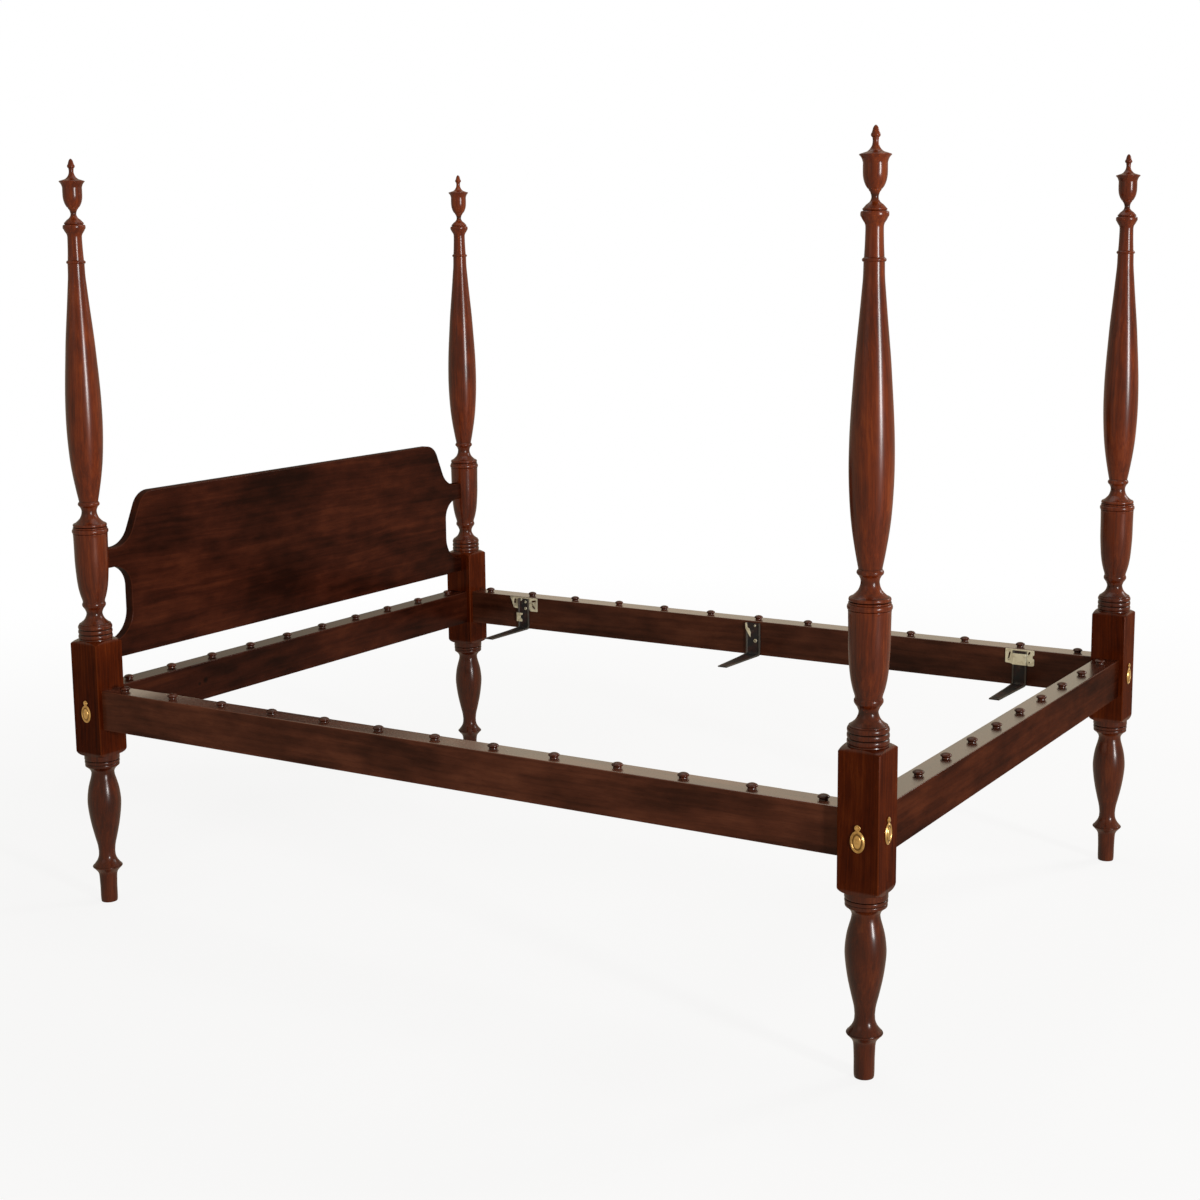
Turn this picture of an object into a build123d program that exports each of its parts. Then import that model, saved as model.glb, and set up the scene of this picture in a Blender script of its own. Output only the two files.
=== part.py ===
from build123d import *

import math
import os

os.makedirs("parts", exist_ok=True)

# Four-poster bed in millimetres. +X runs from the head to the foot, +Z is up, and the floor under
# the middle of the bed is the origin. Right and left are those of someone lying in it.

# Plan, between the axes of the posts
BED_LENGTH = 2122.0
BED_WIDTH = 1600.0

# Rails, with stub tenons into the posts
RAIL_THICK = 64.0
RAIL_HIGH = 101.0
RAIL_UNDERSIDE = 464.0
RAIL_EDGE_RADIUS = 3.0
TENON_THICK = 25.0
TENON_HIGH = 75.0
TENON_LONG = 20.0
TENON_SIDE_GAP = 0.2
TENON_END_GAP = 1.0

# Square block of each post, where the rails meet it
BLOCK_SIDE = 90.0
BLOCK_EDGE_CHAMFER = 1.5
BLOCK_CORNER_HIGH = 279.0
SHOULDER_BELOW_HIGH = 12.0
SHOULDER_ABOVE_HIGH = 7.0

# Turned members of a post from the floor up: height, largest radius
FOOT = (66.0, 21.5)
TOE_RING = (67.0, 37.4)
LEG_VASE = (210.0, 41.9)
LEG_CAP = (17.0, 40.1)
CAP_RING = (8.0, 43.3)
COLLAR = (17.0, 43.9)
BLOCK_NECK = (2.0, 39.7)
STACK_RING = (12.0, 42.2)
CUP_STEM = (59.0, 39.0)
CUP = (170.0, 42.2)
CUP_RIM = (16.0, 44.6)
CUP_RIM_BEAD = (8.0, 40.3)
VASE_STEM = (62.0, 39.7)
LONG_VASE = (577.0, 44.15)
ASTRAGAL = (17.0, 23.3)
POST_NECK = (59.0, 18.9)
CAPITAL = (27.6, 27.2)

# Radii of two members that differ by less run into each other without a step
LEAST_STEP = 0.8

# Outlines of the turned members, as shares of each member's height and largest radius
FOOT_shares = ((0.0, 0.94), (0.06, 1.0), (1.0, 1.0))
TOE_RING_shares = (
    (0.0, 0.59), (0.26, 0.74), (0.41, 1.0), (0.45, 0.98), (0.62, 0.72), (0.8, 0.58), (1.0, 0.55),
)
LEG_VASE_arc_shares = (
    (0.0, 0.49), (0.14, 0.6), (0.3, 0.79), (0.5, 0.95), (0.66, 1.0), (0.84, 0.87), (1.0, 0.68),
)
LEG_CAP_shares = ((0.0, 0.71), (0.5, 0.81), (1.0, 1.0))
CAP_RING_shares = ((0.0, 0.94), (0.25, 1.0), (0.75, 1.0), (1.0, 0.95))
COLLAR_shares = ((0.0, 0.95), (0.12, 1.0), (1.0, 1.0))
BLOCK_NECK_shares = ((0.0, 1.0), (1.0, 1.0))
STACK_RING_shares = ((0.0, 0.94), (0.3, 1.0), (0.7, 1.0), (1.0, 0.94))
CUP_STEM_shares = (
    (0.0, 1.0), (0.16, 0.74), (0.33, 0.55), (0.49, 0.5), (0.66, 0.59), (0.85, 0.75),
    (0.94, 0.7), (1.0, 0.7),
)
CUP_arc_shares = ((0.0, 0.65), (0.1, 0.77), (0.3, 0.89), (0.6, 0.98), (1.0, 1.0))
CUP_RIM_shares = ((0.0, 0.95), (0.31, 1.0), (0.69, 1.0), (1.0, 0.91))
CUP_RIM_BEAD_shares = ((0.0, 1.0), (1.0, 0.985))
VASE_STEM_shares = (
    (0.0, 1.0), (0.22, 0.66), (0.38, 0.53), (0.55, 0.47), (0.72, 0.53), (0.85, 0.67),
    (0.94, 0.6), (1.0, 0.6),
)
LONG_VASE_arc_shares = (
    (0.0, 0.54), (0.07, 0.71), (0.155, 0.87), (0.25, 0.965), (0.35, 1.0),
    (0.52, 0.935), (0.68, 0.795), (0.84, 0.61), (1.0, 0.45),
)
ASTRAGAL_shares = ((0.0, 0.86), (0.53, 0.99), (0.75, 1.0), (1.0, 0.82))
POST_NECK_shares = ((0.0, 1.0), (0.85, 0.92), (1.0, 0.94))
CAPITAL_shares = ((0.0, 0.65), (0.4, 0.81), (0.62, 0.98), (0.88, 1.0), (1.0, 0.95))

# Urn finial, turned with the spigot that stands in the top of the post
FINIAL_FOOT = (4.0, 23.5)
FINIAL_STEM = (36.0, 20.8)
FINIAL_URN = (47.4, 23.5)
FINIAL_LIP = (17.0, 30.8)
FINIAL_NECK = (22.0, 28.5)
FINIAL_ACORN = (31.0, 9.2)
FINIAL_FOOT_shares = ((0.0, 0.93), (1.0, 1.0))
FINIAL_STEM_shares = ((0.0, 1.1), (0.28, 0.6), (0.6, 0.33), (1.0, 0.61))
FINIAL_URN_shares = ((0.0, 0.54), (0.2, 0.84), (0.5, 0.98), (1.0, 1.0))
FINIAL_LIP_shares = ((0.0, 0.76), (0.6, 0.88), (0.92, 1.0), (1.0, 0.94))
FINIAL_NECK_shares = ((0.0, 1.0), (0.2, 0.55), (0.5, 0.3), (1.0, 0.2))
FINIAL_ACORN_shares = ((0.0, 0.62), (0.42, 1.0), (0.58, 0.79), (1.0, 0.1))
SPIGOT_DIAMETER = 12.7
SPIGOT_LONG = 38.0
SPIGOT_GAP = 0.08
SOCKET_SPARE = 2.0

# Headboard, a flat board with an ear to each post
BOARD_THICK = 26.0
BOARD_FROM_RAIL = 66.0
BOARD_HIGH = 417.0
BOARD_EDGE_RADIUS = 3.0
TOP_COVE_FROM_POST = 70.0
TOP_SHOULDER_WIDE = 140.0
TOP_CORNER_share = 0.4
TOP_COVE_share = 0.486
EAR_TOP_BELOW_CROWN = 132.5
EAR_HIGH = 50.0
WAIST_FROM_POST = 119.5
NOTCH_TOP_RADIUS = 56.5
NOTCH_FOOT_RADIUS = 72.0
FOOT_TENON_HIGH = 45.0
BOARD_END_FROM_AXIS = 24.0

# Bed bolts, square nuts, washers and the bores for them
BOLT_DIAMETER = 9.5
BOLT_LONG = 170.0
BOLT_HEAD_ACROSS = 14.3
BOLT_HEAD_SIDES = 6
BOLT_HEAD_THICK = 6.5
BOLT_BORE_DIAMETER = 11.0
BOLT_BORE_SPARE = 10.0
SIDE_BOLT_ABOVE_RAIL_FOOT = 52.0
END_BOLT_BELOW_SIDE_BOLT = 12.0
COUNTERBORE_DIAMETER = 25.0
COUNTERBORE_DEEP = 14.0
WASHER_DIAMETER = 23.5
WASHER_THICK = 2.0
NUT_SIDE = 16.0
NUT_THICK = 8.0
NUT_FROM_SHOULDER = 76.0
NUT_SLOT_GAP = 0.5
THREAD_GAP = 0.05

# Swinging covers over the bolt heads, each hung on a pin
COVER_HIGH = 45.0
COVER_WIDE = 32.0
COVER_THICK = 2.5
COVER_BOSS_HIGH = 27.0
COVER_BOSS_WIDE = 16.0
COVER_BOSS_THICK = 3.0
COVER_RING_WIDE = 3.5
COVER_RING_INSET = 2.0
COVER_RING_THICK = 1.6
COVER_EYE_DIAMETER = 13.0
COVER_EYE_ABOVE_CENTRE = 28.0
COVER_BACK_GAP = 0.3
COVER_CORNERS = 20
COVER_EYE_CORNERS = 14
PIN_DIAMETER = 4.0
PIN_GAP = 0.06
PIN_DEEP = 16.0
PIN_SEAT_GAP = 0.02
PIN_HEAD_DIAMETER = 8.0
PIN_HEAD_THICK = 1.6
PIN_HEAD_TAPER = 25.0

# Knobs for the rope that laces a bed like this, along the tops of the rails
KNOB_DIAMETER = 25.4
KNOB_HIGH = 12.3
KNOB_NECK_DIAMETER = 18.5
KNOB_TOP_DIAMETER = 15.0
KNOB_WIDEST_shares = (0.4, 0.62)
KNOB_SIDES = 10
SIDE_KNOBS = 13
SIDE_KNOB_FROM_POST = 50.0
END_KNOBS = 10
END_KNOB_FROM_POST = 61.1

# Hanger irons that carry the box spring, and the plates over the outer ones
HANGER_FROM_POST = 245.0
IRON_WIDE = 40.0
IRON_TIP_WIDE = 28.0
IRON_THICK = 3.0
IRON_ARM_LONG = 196.0
IRON_BEND_RADIUS = 6.0
IRON_ARM_TOP_ABOVE_UNDERSIDE = 2.5
IRON_STRAP_BELOW_RAIL_TOP = 5.0
PLATE_WIDE_FOOT_END = 82.0
PLATE_WIDE_HEAD_END = 104.0
PLATE_HIGH = 47.0
PLATE_BELOW_RAIL_TOP = 1.0
PLATE_THICK = 2.0
POCKET_WIDE = 44.0
POCKET_HIGH = 38.0
POCKET_PROUD = 5.5
POCKET_GAP = 0.2

# Places worked out from the sizes above
HALF_LENGTH = BED_LENGTH / 2
HALF_WIDTH = BED_WIDTH / 2
HALF_BLOCK = BLOCK_SIDE / 2
HALF_CORNER = HALF_BLOCK * math.sqrt(2)
SHOULDER_X = HALF_LENGTH - HALF_BLOCK
SHOULDER_Y = HALF_WIDTH - HALF_BLOCK
RAIL_TOP = RAIL_UNDERSIDE + RAIL_HIGH
RAIL_MIDDLE = RAIL_UNDERSIDE + RAIL_HIGH / 2
SIDE_BOLT_Z = RAIL_UNDERSIDE + SIDE_BOLT_ABOVE_RAIL_FOOT
END_BOLT_Z = SIDE_BOLT_Z - END_BOLT_BELOW_SIDE_BOLT
MORTISE_THICK = TENON_THICK + 2 * TENON_SIDE_GAP
MORTISE_HIGH = TENON_HIGH + 2 * TENON_SIDE_GAP
BOARD_FOOT = RAIL_TOP + BOARD_FROM_RAIL
BOARD_CROWN = BOARD_FOOT + BOARD_HIGH
EAR_TOP = BOARD_CROWN - EAR_TOP_BELOW_CROWN
EAR_FOOT = EAR_TOP - EAR_HIGH
FOOT_TENON_TOP = BOARD_FOOT + FOOT_TENON_HIGH
TOP_COVE_END = HALF_WIDTH - TOP_COVE_FROM_POST
TOP_FLAT_HALF = TOP_COVE_END - TOP_SHOULDER_WIDE
TOP_CORNER_RADIUS = TOP_SHOULDER_WIDE * TOP_CORNER_share
TOP_COVE_RADIUS = TOP_SHOULDER_WIDE * TOP_COVE_share
WAIST_HALF = HALF_WIDTH - WAIST_FROM_POST
SIDE_KNOB_PITCH = 2 * (SHOULDER_X - SIDE_KNOB_FROM_POST) / (SIDE_KNOBS - 1)
END_KNOB_PITCH = 2 * (SHOULDER_Y - END_KNOB_FROM_POST) / (END_KNOBS - 1)
HANGER_FROM_MIDDLE = HALF_LENGTH - HANGER_FROM_POST

LOWER_MEMBERS = (
    (FOOT, FOOT_shares, False),
    (TOE_RING, TOE_RING_shares, False),
    (LEG_VASE, LEG_VASE_arc_shares, True),
    (LEG_CAP, LEG_CAP_shares, False),
    (CAP_RING, CAP_RING_shares, False),
    (CAP_RING, CAP_RING_shares, False),
    (COLLAR, COLLAR_shares, False),
)
UPPER_MEMBERS = (
    (BLOCK_NECK, BLOCK_NECK_shares, False),
    (STACK_RING, STACK_RING_shares, False),
    (STACK_RING, STACK_RING_shares, False),
    (STACK_RING, STACK_RING_shares, False),
    (CUP_STEM, CUP_STEM_shares, False),
    (CUP, CUP_arc_shares, True),
    (CUP_RIM, CUP_RIM_shares, False),
    (CUP_RIM_BEAD, CUP_RIM_BEAD_shares, False),
    (VASE_STEM, VASE_STEM_shares, False),
    (LONG_VASE, LONG_VASE_arc_shares, True),
    (ASTRAGAL, ASTRAGAL_shares, False),
    (POST_NECK, POST_NECK_shares, False),
    (CAPITAL, CAPITAL_shares, False),
)
FINIAL_MEMBERS = (
    (FINIAL_FOOT, FINIAL_FOOT_shares, False),
    (FINIAL_STEM, FINIAL_STEM_shares, False),
    (FINIAL_URN, FINIAL_URN_shares, False),
    (FINIAL_LIP, FINIAL_LIP_shares, False),
    (FINIAL_NECK, FINIAL_NECK_shares, False),
    (FINIAL_ACORN, FINIAL_ACORN_shares, False),
)


def stack_height(members):
    """Height of a stack of turned members."""
    return sum(high for (high, radius), shares, curved in members)


BLOCK_FOOT = stack_height(LOWER_MEMBERS)
BLOCK_CORNER_FOOT = BLOCK_FOOT + SHOULDER_BELOW_HIGH
BLOCK_CORNER_TOP = BLOCK_CORNER_FOOT + BLOCK_CORNER_HIGH
BLOCK_TOP = BLOCK_CORNER_TOP + SHOULDER_ABOVE_HIGH
POST_TOP = BLOCK_TOP + stack_height(UPPER_MEMBERS)


def turned_outline(members, base):
    """Draws one side of a stack of turned members upwards from the height of its base.

    Each member starts on the end of the one below it, or with a flat step where their radii
    differ by more than the least step. Returns the last point.
    """
    tip = None
    for (high, radius), shares, curved in members:
        points = [(radius * out, base + high * up) for up, out in shares]
        if tip and abs(tip[0] - points[0][0]) > LEAST_STEP:
            Line(tip, points[0])
        elif tip:
            points[0] = tip
        if curved:
            for first, middle, last in zip(points[::2], points[1::2], points[2::2]):
                ThreePointArc(first, middle, last)
        else:
            Polyline(points)
        tip = points[-1]
        base += high
    return tip


def turned_section(plane, members, base):
    """Half section of a stack of turned members, closed on its axis."""
    with BuildSketch(plane) as section:
        with BuildLine():
            tip = turned_outline(members, base)
            first_radius = members[0][0][1] * members[0][1][0][1]
            Line(tip, (0, tip[1]))
            Line((0, tip[1]), (0, base))
            Line((0, base), (first_radius, base))
        make_face()
    return section.sketch


def pommel_section(plane):
    """Half section that turns both ends of the square block down to its shoulders."""
    with BuildSketch(plane) as section:
        with BuildLine():
            Polyline(
                (0, BLOCK_FOOT),
                (HALF_BLOCK, BLOCK_FOOT),
                (HALF_CORNER, BLOCK_CORNER_FOOT),
                (HALF_CORNER, BLOCK_CORNER_TOP),
                (HALF_BLOCK, BLOCK_TOP),
                (0, BLOCK_TOP),
                close=True,
            )
        make_face()
    return section.sketch


def outer_faces(end, side):
    """Planes on the two outer faces of a post's block, upright, at the heights of their bolts."""
    end_face = Plane(
        origin=(end * (HALF_LENGTH + HALF_BLOCK), side * HALF_WIDTH, SIDE_BOLT_Z),
        x_dir=(0, end, 0),
        z_dir=(end, 0, 0),
    )
    side_face = Plane(
        origin=(end * HALF_LENGTH, side * (HALF_WIDTH + HALF_BLOCK), END_BOLT_Z),
        x_dir=(-side, 0, 0),
        z_dir=(0, side, 0),
    )
    return end_face, side_face


def bed_post(name, end, side):
    """A turned post with a square block, cut for two rails, two bolts and their covers."""
    upright = Plane(origin=(end * HALF_LENGTH, side * HALF_WIDTH, 0), x_dir=(1, 0, 0), z_dir=(0, -1, 0))
    axis = Axis((end * HALF_LENGTH, side * HALF_WIDTH, 0), (0, 0, 1))
    with BuildPart() as post:
        with BuildSketch(Plane.XY.offset(BLOCK_FOOT)):
            with Locations((end * HALF_LENGTH, side * HALF_WIDTH)):
                Rectangle(BLOCK_SIDE, BLOCK_SIDE)
        extrude(amount=BLOCK_TOP - BLOCK_FOOT)
        chamfer(post.edges().filter_by(Axis.Z), BLOCK_EDGE_CHAMFER)
        revolve(pommel_section(upright), axis=axis, mode=Mode.INTERSECT)
        revolve(turned_section(upright, LOWER_MEMBERS, 0), axis=axis)
        revolve(turned_section(upright, UPPER_MEMBERS, BLOCK_TOP), axis=axis)

        # Mortises for the stub tenons of the side rail and the end rail
        deep = TENON_LONG + TENON_END_GAP
        with Locations((end * (SHOULDER_X + deep / 2), side * HALF_WIDTH, RAIL_MIDDLE)):
            Box(deep, MORTISE_THICK, MORTISE_HIGH, mode=Mode.SUBTRACT)
        with Locations((end * HALF_LENGTH, side * (SHOULDER_Y + deep / 2), RAIL_MIDDLE)):
            Box(MORTISE_THICK, deep, MORTISE_HIGH, mode=Mode.SUBTRACT)

        # Bores for the bolts and, above each, for the pin of its cover
        for face in outer_faces(end, side):
            with Locations(face):
                CounterBoreHole(
                    BOLT_BORE_DIAMETER / 2, COUNTERBORE_DIAMETER / 2, COUNTERBORE_DEEP, depth=BLOCK_SIDE
                )
            with Locations(face * Pos(0, COVER_EYE_ABOVE_CENTRE, 0)):
                Hole(PIN_DIAMETER / 2 + PIN_SEAT_GAP, depth=PIN_DEEP + PIN_SEAT_GAP)

        # Socket for the spigot of the finial
        with Locations((end * HALF_LENGTH, side * HALF_WIDTH, POST_TOP)):
            Hole(SPIGOT_DIAMETER / 2 + SPIGOT_GAP, depth=SPIGOT_LONG + SOCKET_SPARE)

        # Housings for the headboard, the lower one in the block and the upper one in the cup
        if end < 0:
            reach = HALF_BLOCK - BOARD_END_FROM_AXIS + TENON_END_GAP
            middle_y = side * (SHOULDER_Y + reach / 2)
            for low, high in ((BOARD_FOOT, FOOT_TENON_TOP), (EAR_FOOT, EAR_TOP)):
                with Locations((-HALF_LENGTH, middle_y, (low + high) / 2)):
                    Box(
                        BOARD_THICK + 2 * TENON_SIDE_GAP,
                        reach,
                        high - low + 2 * TENON_SIDE_GAP,
                        mode=Mode.SUBTRACT,
                    )
    post.part.label = name
    export_step(post.part, f"parts/{name}.step")


def post_finial(name, end, side):
    """An urn finial on a spigot, which lifts out of the top of its post."""
    upright = Plane(origin=(end * HALF_LENGTH, side * HALF_WIDTH, 0), x_dir=(1, 0, 0), z_dir=(0, -1, 0))
    with BuildPart() as finial:
        axis = Axis((end * HALF_LENGTH, side * HALF_WIDTH, 0), (0, 0, 1))
        revolve(turned_section(upright, FINIAL_MEMBERS, POST_TOP), axis=axis)
        with BuildSketch(Plane.XY.offset(POST_TOP)):
            with Locations((end * HALF_LENGTH, side * HALF_WIDTH)):
                Circle(SPIGOT_DIAMETER / 2)
        extrude(amount=-SPIGOT_LONG)
    finial.part.label = name
    export_step(finial.part, f"parts/{name}.step")


def headboard():
    """A flat board with rounded shoulders, an ear to each post and a notch under each ear."""
    crown_centre = (TOP_FLAT_HALF, BOARD_CROWN - TOP_CORNER_RADIUS)
    cove_centre = (TOP_COVE_END, EAR_TOP + TOP_COVE_RADIUS)
    notch_top_centre = (WAIST_HALF + NOTCH_TOP_RADIUS, EAR_FOOT - NOTCH_TOP_RADIUS)
    notch_foot_centre = (WAIST_HALF + NOTCH_FOOT_RADIUS, FOOT_TENON_TOP + NOTCH_FOOT_RADIUS)
    board_end = HALF_WIDTH - BOARD_END_FROM_AXIS

    # The slope that touches both the rounded corner and the cove below it
    apart = math.dist(crown_centre, cove_centre)
    between = math.atan2(cove_centre[1] - crown_centre[1], cove_centre[0] - crown_centre[0])
    lean = math.degrees(between + math.acos((TOP_CORNER_RADIUS + TOP_COVE_RADIUS) / apart))

    with BuildPart() as board:
        with BuildSketch(Plane.YZ.offset(-HALF_LENGTH)):
            with BuildLine():
                Line((0, BOARD_CROWN), (TOP_FLAT_HALF, BOARD_CROWN))
                corner = CenterArc(crown_centre, TOP_CORNER_RADIUS, 90, lean - 90)
                cove = CenterArc(cove_centre, TOP_COVE_RADIUS, 180 + lean, 90 - lean)
                Line(corner @ 1, cove @ 0)
                Polyline(
                    cove @ 1,
                    (board_end, EAR_TOP),
                    (board_end, EAR_FOOT),
                    (notch_top_centre[0], EAR_FOOT),
                )
                notch_top = CenterArc(notch_top_centre, NOTCH_TOP_RADIUS, 90, 90)
                notch_foot = CenterArc(notch_foot_centre, NOTCH_FOOT_RADIUS, 180, 90)
                Line(notch_top @ 1, notch_foot @ 0)
                Polyline(
                    notch_foot @ 1,
                    (board_end, FOOT_TENON_TOP),
                    (board_end, BOARD_FOOT),
                    (0, BOARD_FOOT),
                )
                mirror(about=Plane.YZ)
            make_face()
        extrude(amount=BOARD_THICK / 2, both=True)
        rims = board.faces().filter_by(Axis.X).edges()
        free_rims = rims.filter_by(lambda rim: abs(rim.center().Y) < board_end - BOARD_EDGE_RADIUS)
        chamfer(free_rims, BOARD_EDGE_RADIUS)
    board.part.label = "headboard"
    export_step(board.part, "parts/headboard.step")


def bed_rail(name, plane, half_clear, bolt_z):
    """A rail between two posts, with stub tenons, bolt bores and slots from below for the nuts."""
    bolt_above_middle = bolt_z - RAIL_MIDDLE
    slot_top = bolt_above_middle + NUT_SIDE / 2 + NUT_SLOT_GAP
    slot_high = slot_top + RAIL_HIGH / 2
    bore_deep = TENON_LONG + BOLT_LONG - WASHER_THICK - (BLOCK_SIDE - COUNTERBORE_DEEP) + BOLT_BORE_SPARE
    with BuildPart(plane) as rail:
        Box(2 * half_clear, RAIL_THICK, RAIL_HIGH)
        fillet(rail.edges().filter_by(Axis(plane.origin, plane.x_dir)), RAIL_EDGE_RADIUS)
        Box(2 * (half_clear + TENON_LONG), TENON_THICK, TENON_HIGH)
        for end in (-1, 1):
            tenon_end = (end * (half_clear + TENON_LONG), 0, bolt_above_middle)
            with Locations(Plane(origin=tenon_end, z_dir=(end, 0, 0))):
                Hole(BOLT_BORE_DIAMETER / 2, depth=bore_deep)
            nut_middle = half_clear - NUT_FROM_SHOULDER - NUT_THICK / 2
            with Locations((end * nut_middle, 0, slot_top - slot_high / 2)):
                Box(
                    NUT_THICK + 2 * NUT_SLOT_GAP,
                    NUT_SIDE + 2 * NUT_SLOT_GAP,
                    slot_high,
                    mode=Mode.SUBTRACT,
                )
    rail.part.label = name
    export_step(rail.part, f"parts/{name}.step")


def knob_row(name, plane, count, pitch):
    """A row of mushroom knobs on the top of one rail, spaced evenly about its middle."""
    low, high = (KNOB_HIGH * share for share in KNOB_WIDEST_shares)
    sections = (
        (0, KNOB_NECK_DIAMETER),
        (low, KNOB_DIAMETER),
        (high, KNOB_DIAMETER),
        (KNOB_HIGH, KNOB_TOP_DIAMETER),
    )
    with BuildPart() as knobs:
        for place in range(count):
            along = (place - (count - 1) / 2) * pitch
            for above, diameter in sections:
                with BuildSketch(plane.offset(above)):
                    with Locations((along, 0)):
                        RegularPolygon(diameter / 2, KNOB_SIDES)
            loft(ruled=True)
    knobs.part.label = name
    export_step(knobs.part, f"parts/{name}.step")


def bolt_seats():
    """Planes at the bottoms of the counterbores, facing outwards: side bolts, then end bolts."""
    faces = [outer_faces(end, side) for end in (-1, 1) for side in (-1, 1)]
    return [[face.offset(-COUNTERBORE_DEEP) for face in row] for row in zip(*faces)]


def bed_bolts(name, seats):
    """Hexagon bolts that draw the rails up to the posts, one in each counterbore."""
    with BuildPart() as bolts:
        for seat in seats:
            with BuildSketch(seat.offset(WASHER_THICK)):
                RegularPolygon(BOLT_HEAD_ACROSS / 2, BOLT_HEAD_SIDES, major_radius=False)
            extrude(amount=BOLT_HEAD_THICK)
            with BuildSketch(seat.offset(WASHER_THICK)):
                Circle(BOLT_DIAMETER / 2)
            extrude(amount=-BOLT_LONG)
    bolts.part.label = name
    export_step(bolts.part, f"parts/{name}.step")


def bolt_washers(seats):
    """A flat washer under each bolt head."""
    with BuildPart() as washers:
        for seat in seats:
            with BuildSketch(seat):
                Circle(WASHER_DIAMETER / 2)
                Circle(BOLT_DIAMETER / 2 + THREAD_GAP, mode=Mode.SUBTRACT)
            extrude(amount=WASHER_THICK)
    washers.part.label = "bolt_washers"
    export_step(washers.part, "parts/bolt_washers.step")


def bolt_nuts(seats):
    """Square nuts in their slots in the rails."""
    inward = BLOCK_SIDE - COUNTERBORE_DEEP + NUT_FROM_SHOULDER
    with BuildPart() as nuts:
        for seat in seats:
            with BuildSketch(seat.offset(-inward)):
                Rectangle(NUT_SIDE, NUT_SIDE)
                Circle(BOLT_DIAMETER / 2 + THREAD_GAP, mode=Mode.SUBTRACT)
            extrude(amount=-NUT_THICK)
    nuts.part.label = "bolt_nuts"
    export_step(nuts.part, "parts/bolt_nuts.step")


def oval(wide, high, mode=Mode.ADD):
    """An oval of short chords, upright on its sketch."""
    turns = [2 * math.pi * corner / COVER_CORNERS for corner in range(COVER_CORNERS)]
    corners = [(wide / 2 * math.sin(turn), high / 2 * math.cos(turn)) for turn in turns]
    return Polygon(*corners, align=None, mode=mode)


def bolt_cover(name, face):
    """An oval cover with a raised ring and boss, hung by its eye over a bolt's counterbore."""
    back = face.offset(COVER_BACK_GAP)
    front = back.offset(COVER_THICK)
    ring_in = 2 * (COVER_RING_INSET + COVER_RING_WIDE)
    with BuildPart() as cover:
        with BuildSketch(back):
            oval(COVER_WIDE, COVER_HIGH)
            with Locations((0, COVER_EYE_ABOVE_CENTRE)):
                RegularPolygon(COVER_EYE_DIAMETER / 2, COVER_EYE_CORNERS)
            with Locations((0, COVER_EYE_ABOVE_CENTRE)):
                Circle(PIN_DIAMETER / 2 + PIN_GAP, mode=Mode.SUBTRACT)
        extrude(amount=COVER_THICK)
        with BuildSketch(front):
            oval(COVER_WIDE - 2 * COVER_RING_INSET, COVER_HIGH - 2 * COVER_RING_INSET)
            oval(COVER_WIDE - ring_in, COVER_HIGH - ring_in, mode=Mode.SUBTRACT)
        extrude(amount=COVER_RING_THICK)
        with BuildSketch(front):
            oval(COVER_BOSS_WIDE, COVER_BOSS_HIGH)
        with BuildSketch(front.offset(COVER_BOSS_THICK)):
            oval(COVER_BOSS_WIDE - 2 * COVER_BOSS_THICK, COVER_BOSS_HIGH - 2 * COVER_BOSS_THICK)
        loft(ruled=True)
    cover.part.label = name
    export_step(cover.part, f"parts/{name}.step")


def cover_pins(faces):
    """Round-headed pins that the covers swing on, driven into the posts."""
    head_seat = COVER_BACK_GAP + COVER_THICK + PIN_GAP
    with BuildPart() as pins:
        for face in faces:
            with BuildSketch(face.offset(-PIN_DEEP)):
                with Locations((0, COVER_EYE_ABOVE_CENTRE)):
                    Circle(PIN_DIAMETER / 2)
            extrude(amount=PIN_DEEP + head_seat)
            with BuildSketch(face.offset(head_seat)):
                with Locations((0, COVER_EYE_ABOVE_CENTRE)):
                    Circle(PIN_HEAD_DIAMETER / 2)
            extrude(amount=PIN_HEAD_THICK, taper=PIN_HEAD_TAPER)
    pins.part.label = "cover_pins"
    export_step(pins.part, "parts/cover_pins.step")


def hanger_iron(name, side, along):
    """An angle iron: a strap down the inner face of a side rail and a tapered arm under the box spring."""
    rail_face = side * (HALF_WIDTH - RAIL_THICK / 2)
    arm_top = RAIL_UNDERSIDE + IRON_ARM_TOP_ABOVE_UNDERSIDE
    strap_high = RAIL_TOP - IRON_STRAP_BELOW_RAIL_TOP - arm_top
    strap_face = rail_face - side * IRON_THICK
    arm_tip = rail_face - side * IRON_ARM_LONG
    with BuildPart() as iron:
        with Locations((along, (rail_face + strap_face) / 2, arm_top + strap_high / 2)):
            Box(IRON_WIDE, IRON_THICK, strap_high)
        with BuildSketch(Plane.XY.offset(arm_top)):
            Polygon(
                (along - IRON_WIDE / 2, rail_face),
                (along + IRON_WIDE / 2, rail_face),
                (along + IRON_TIP_WIDE / 2, arm_tip),
                (along - IRON_TIP_WIDE / 2, arm_tip),
                align=None,
            )
        extrude(amount=-IRON_THICK)
        inner_corner = iron.edges().filter_by(Axis.X).sort_by_distance((along, strap_face, arm_top))[0]
        fillet(inner_corner, IRON_BEND_RADIUS)
    iron.part.label = name
    export_step(iron.part, f"parts/{name}.step")


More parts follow.
